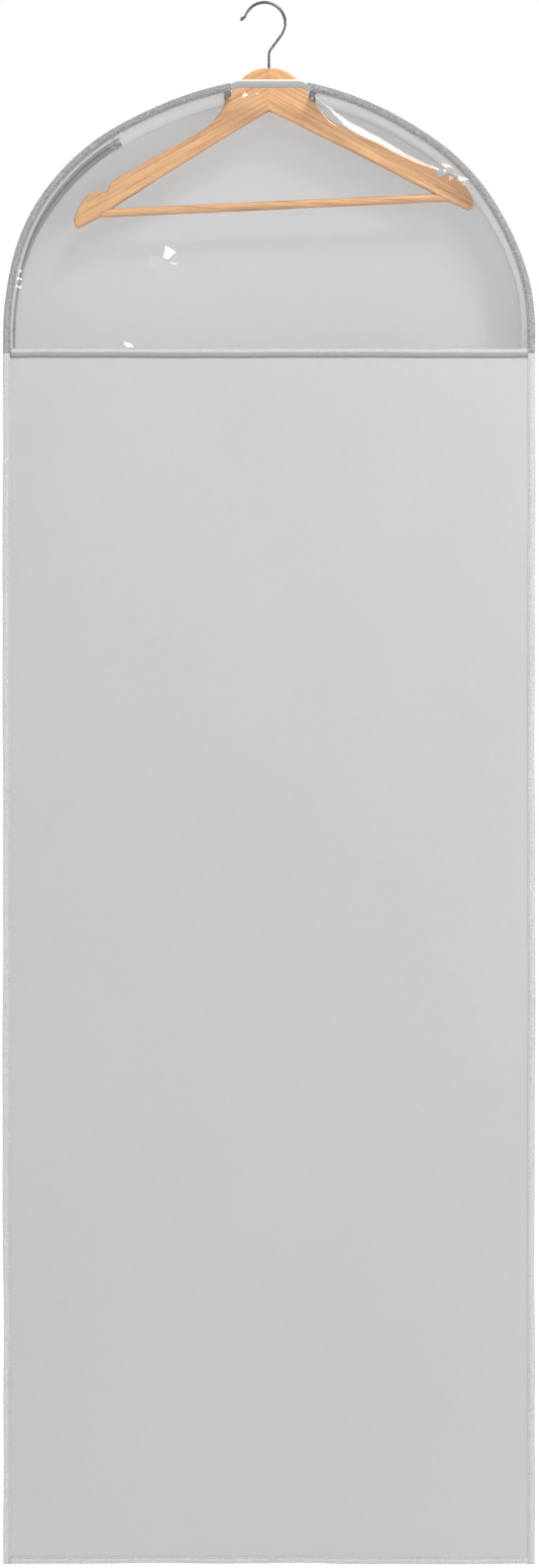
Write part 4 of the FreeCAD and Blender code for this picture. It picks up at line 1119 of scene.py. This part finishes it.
# rows of stitches that hold the tapes
parts = []
for yy in (-13.4, 13.4):
    s = np.arange(Z_FOOT_S, S2 - 3, 4.0)
    x, z, nx_, nz_ = rail(s, GI - 0.33, -1)
    P = settle(np.stack([x, np.full_like(x, yy), z], 1))
    parts.append(stitch_run(P, np.gradient(P, axis=0), np.stack([nx_, 0 * nx_, nz_], 1), PITCH, STITCH, THICK))
    x, z, nx_, nz_ = rail(s, GI + 0.95, -1)
    P = settle(np.stack([x, np.full_like(x, yy), z], 1))
    parts.append(stitch_run(P, np.gradient(P, axis=0), -np.stack([nx_, 0 * nx_, nz_], 1), PITCH, STITCH, THICK))
V, Q = merged(parts)
make("zipper_stitching", V, Q, M_THREAD_D, "bag", ())


# stops: bent clips across both rows
def clip(name, node, s_mid, half):
    prof = np.array([[-3.3, -1.45], [-3.3, 0.4], [-3.0, 1.25], [-1.5, 1.5], [1.5, 1.5], [3.0, 1.25], [3.3, 0.4], [3.3, -1.45]])
    s = np.linspace(s_mid - half, s_mid + half, 5)
    cols = []
    for yy, nn in prof:
        x, z, _, _ = rail(s, GI - nn, -1)
        cols.append(np.stack([x, np.full_like(x, yy), z], 1))
    V, Q = shell(settle(np.stack(cols, 1)), 0.45)
    return make(name, V, Q, M_ZINC, "bag", (node,))


clip("zipper_bottom_stop_clip", "zipper_bottom_stop", Z_FOOT_S + 4.0, 2.0)
clip("zipper_top_stop_clip", "zipper_top_stop", S2 - 4.7, 2.0)

# ------------------------------------------------------------------ CAD nodes that keep their shape
def dress(node, mat):
    o = NODES[node]
    o.data.materials.clear()
    o.data.materials.append(mat)


a_right = math.atan2(122.0, 221.0)
LIGHT, MID, DARK = lin(230, 180, 129), lin(214, 158, 103), lin(166, 106, 57)
dress("hanger_right_arm", wood("beech_right", -a_right, shade(LIGHT, 1.06), shade(MID, 1.08), shade(DARK, 1.08)))
dress("hanger_left_arm", wood("beech_left", a_right, LIGHT, MID, DARK))
dress("trouser_bar", wood("beech_bar", math.radians(-2.65), LIGHT, MID, DARK))
dress("swivel_hook", M_HOOK)
dress("zipper_slider", M_ZINC)
dress("pull_tab", M_ZINC)

fm, fnt, fb, fout = material("floor_paint")
fnt.links.new(ramp(fnt, noise(fnt, coords(fnt), 0.8, 2.0), [(0.2, (0.83, 0.83, 0.83, 1)), (0.8, (0.86, 0.86, 0.86, 1))]), fb.inputs["Base Color"])
fb.inputs["Roughness"].default_value = 0.9
fb.inputs["Specular IOR Level"].default_value = 0.0
fb.inputs["Emission Color"].default_value = (1, 1, 1, 1)
seen = fnt.nodes.new("ShaderNodeLightPath")
fnt.links.new(math_node(fnt, "MULTIPLY", seen.outputs["Is Camera Ray"], 0.50), fb.inputs["Emission Strength"])
me = bpy.data.meshes.new("floor")
me.from_pydata([(-60, -60, -2.06), (60, -60, -2.06), (60, 60, -2.06), (-60, 60, -2.06)], [], [(0, 1, 2, 3)])
me.materials.append(fm)
floor = bpy.data.objects.new("floor", me)
scene.collection.objects.link(floor)
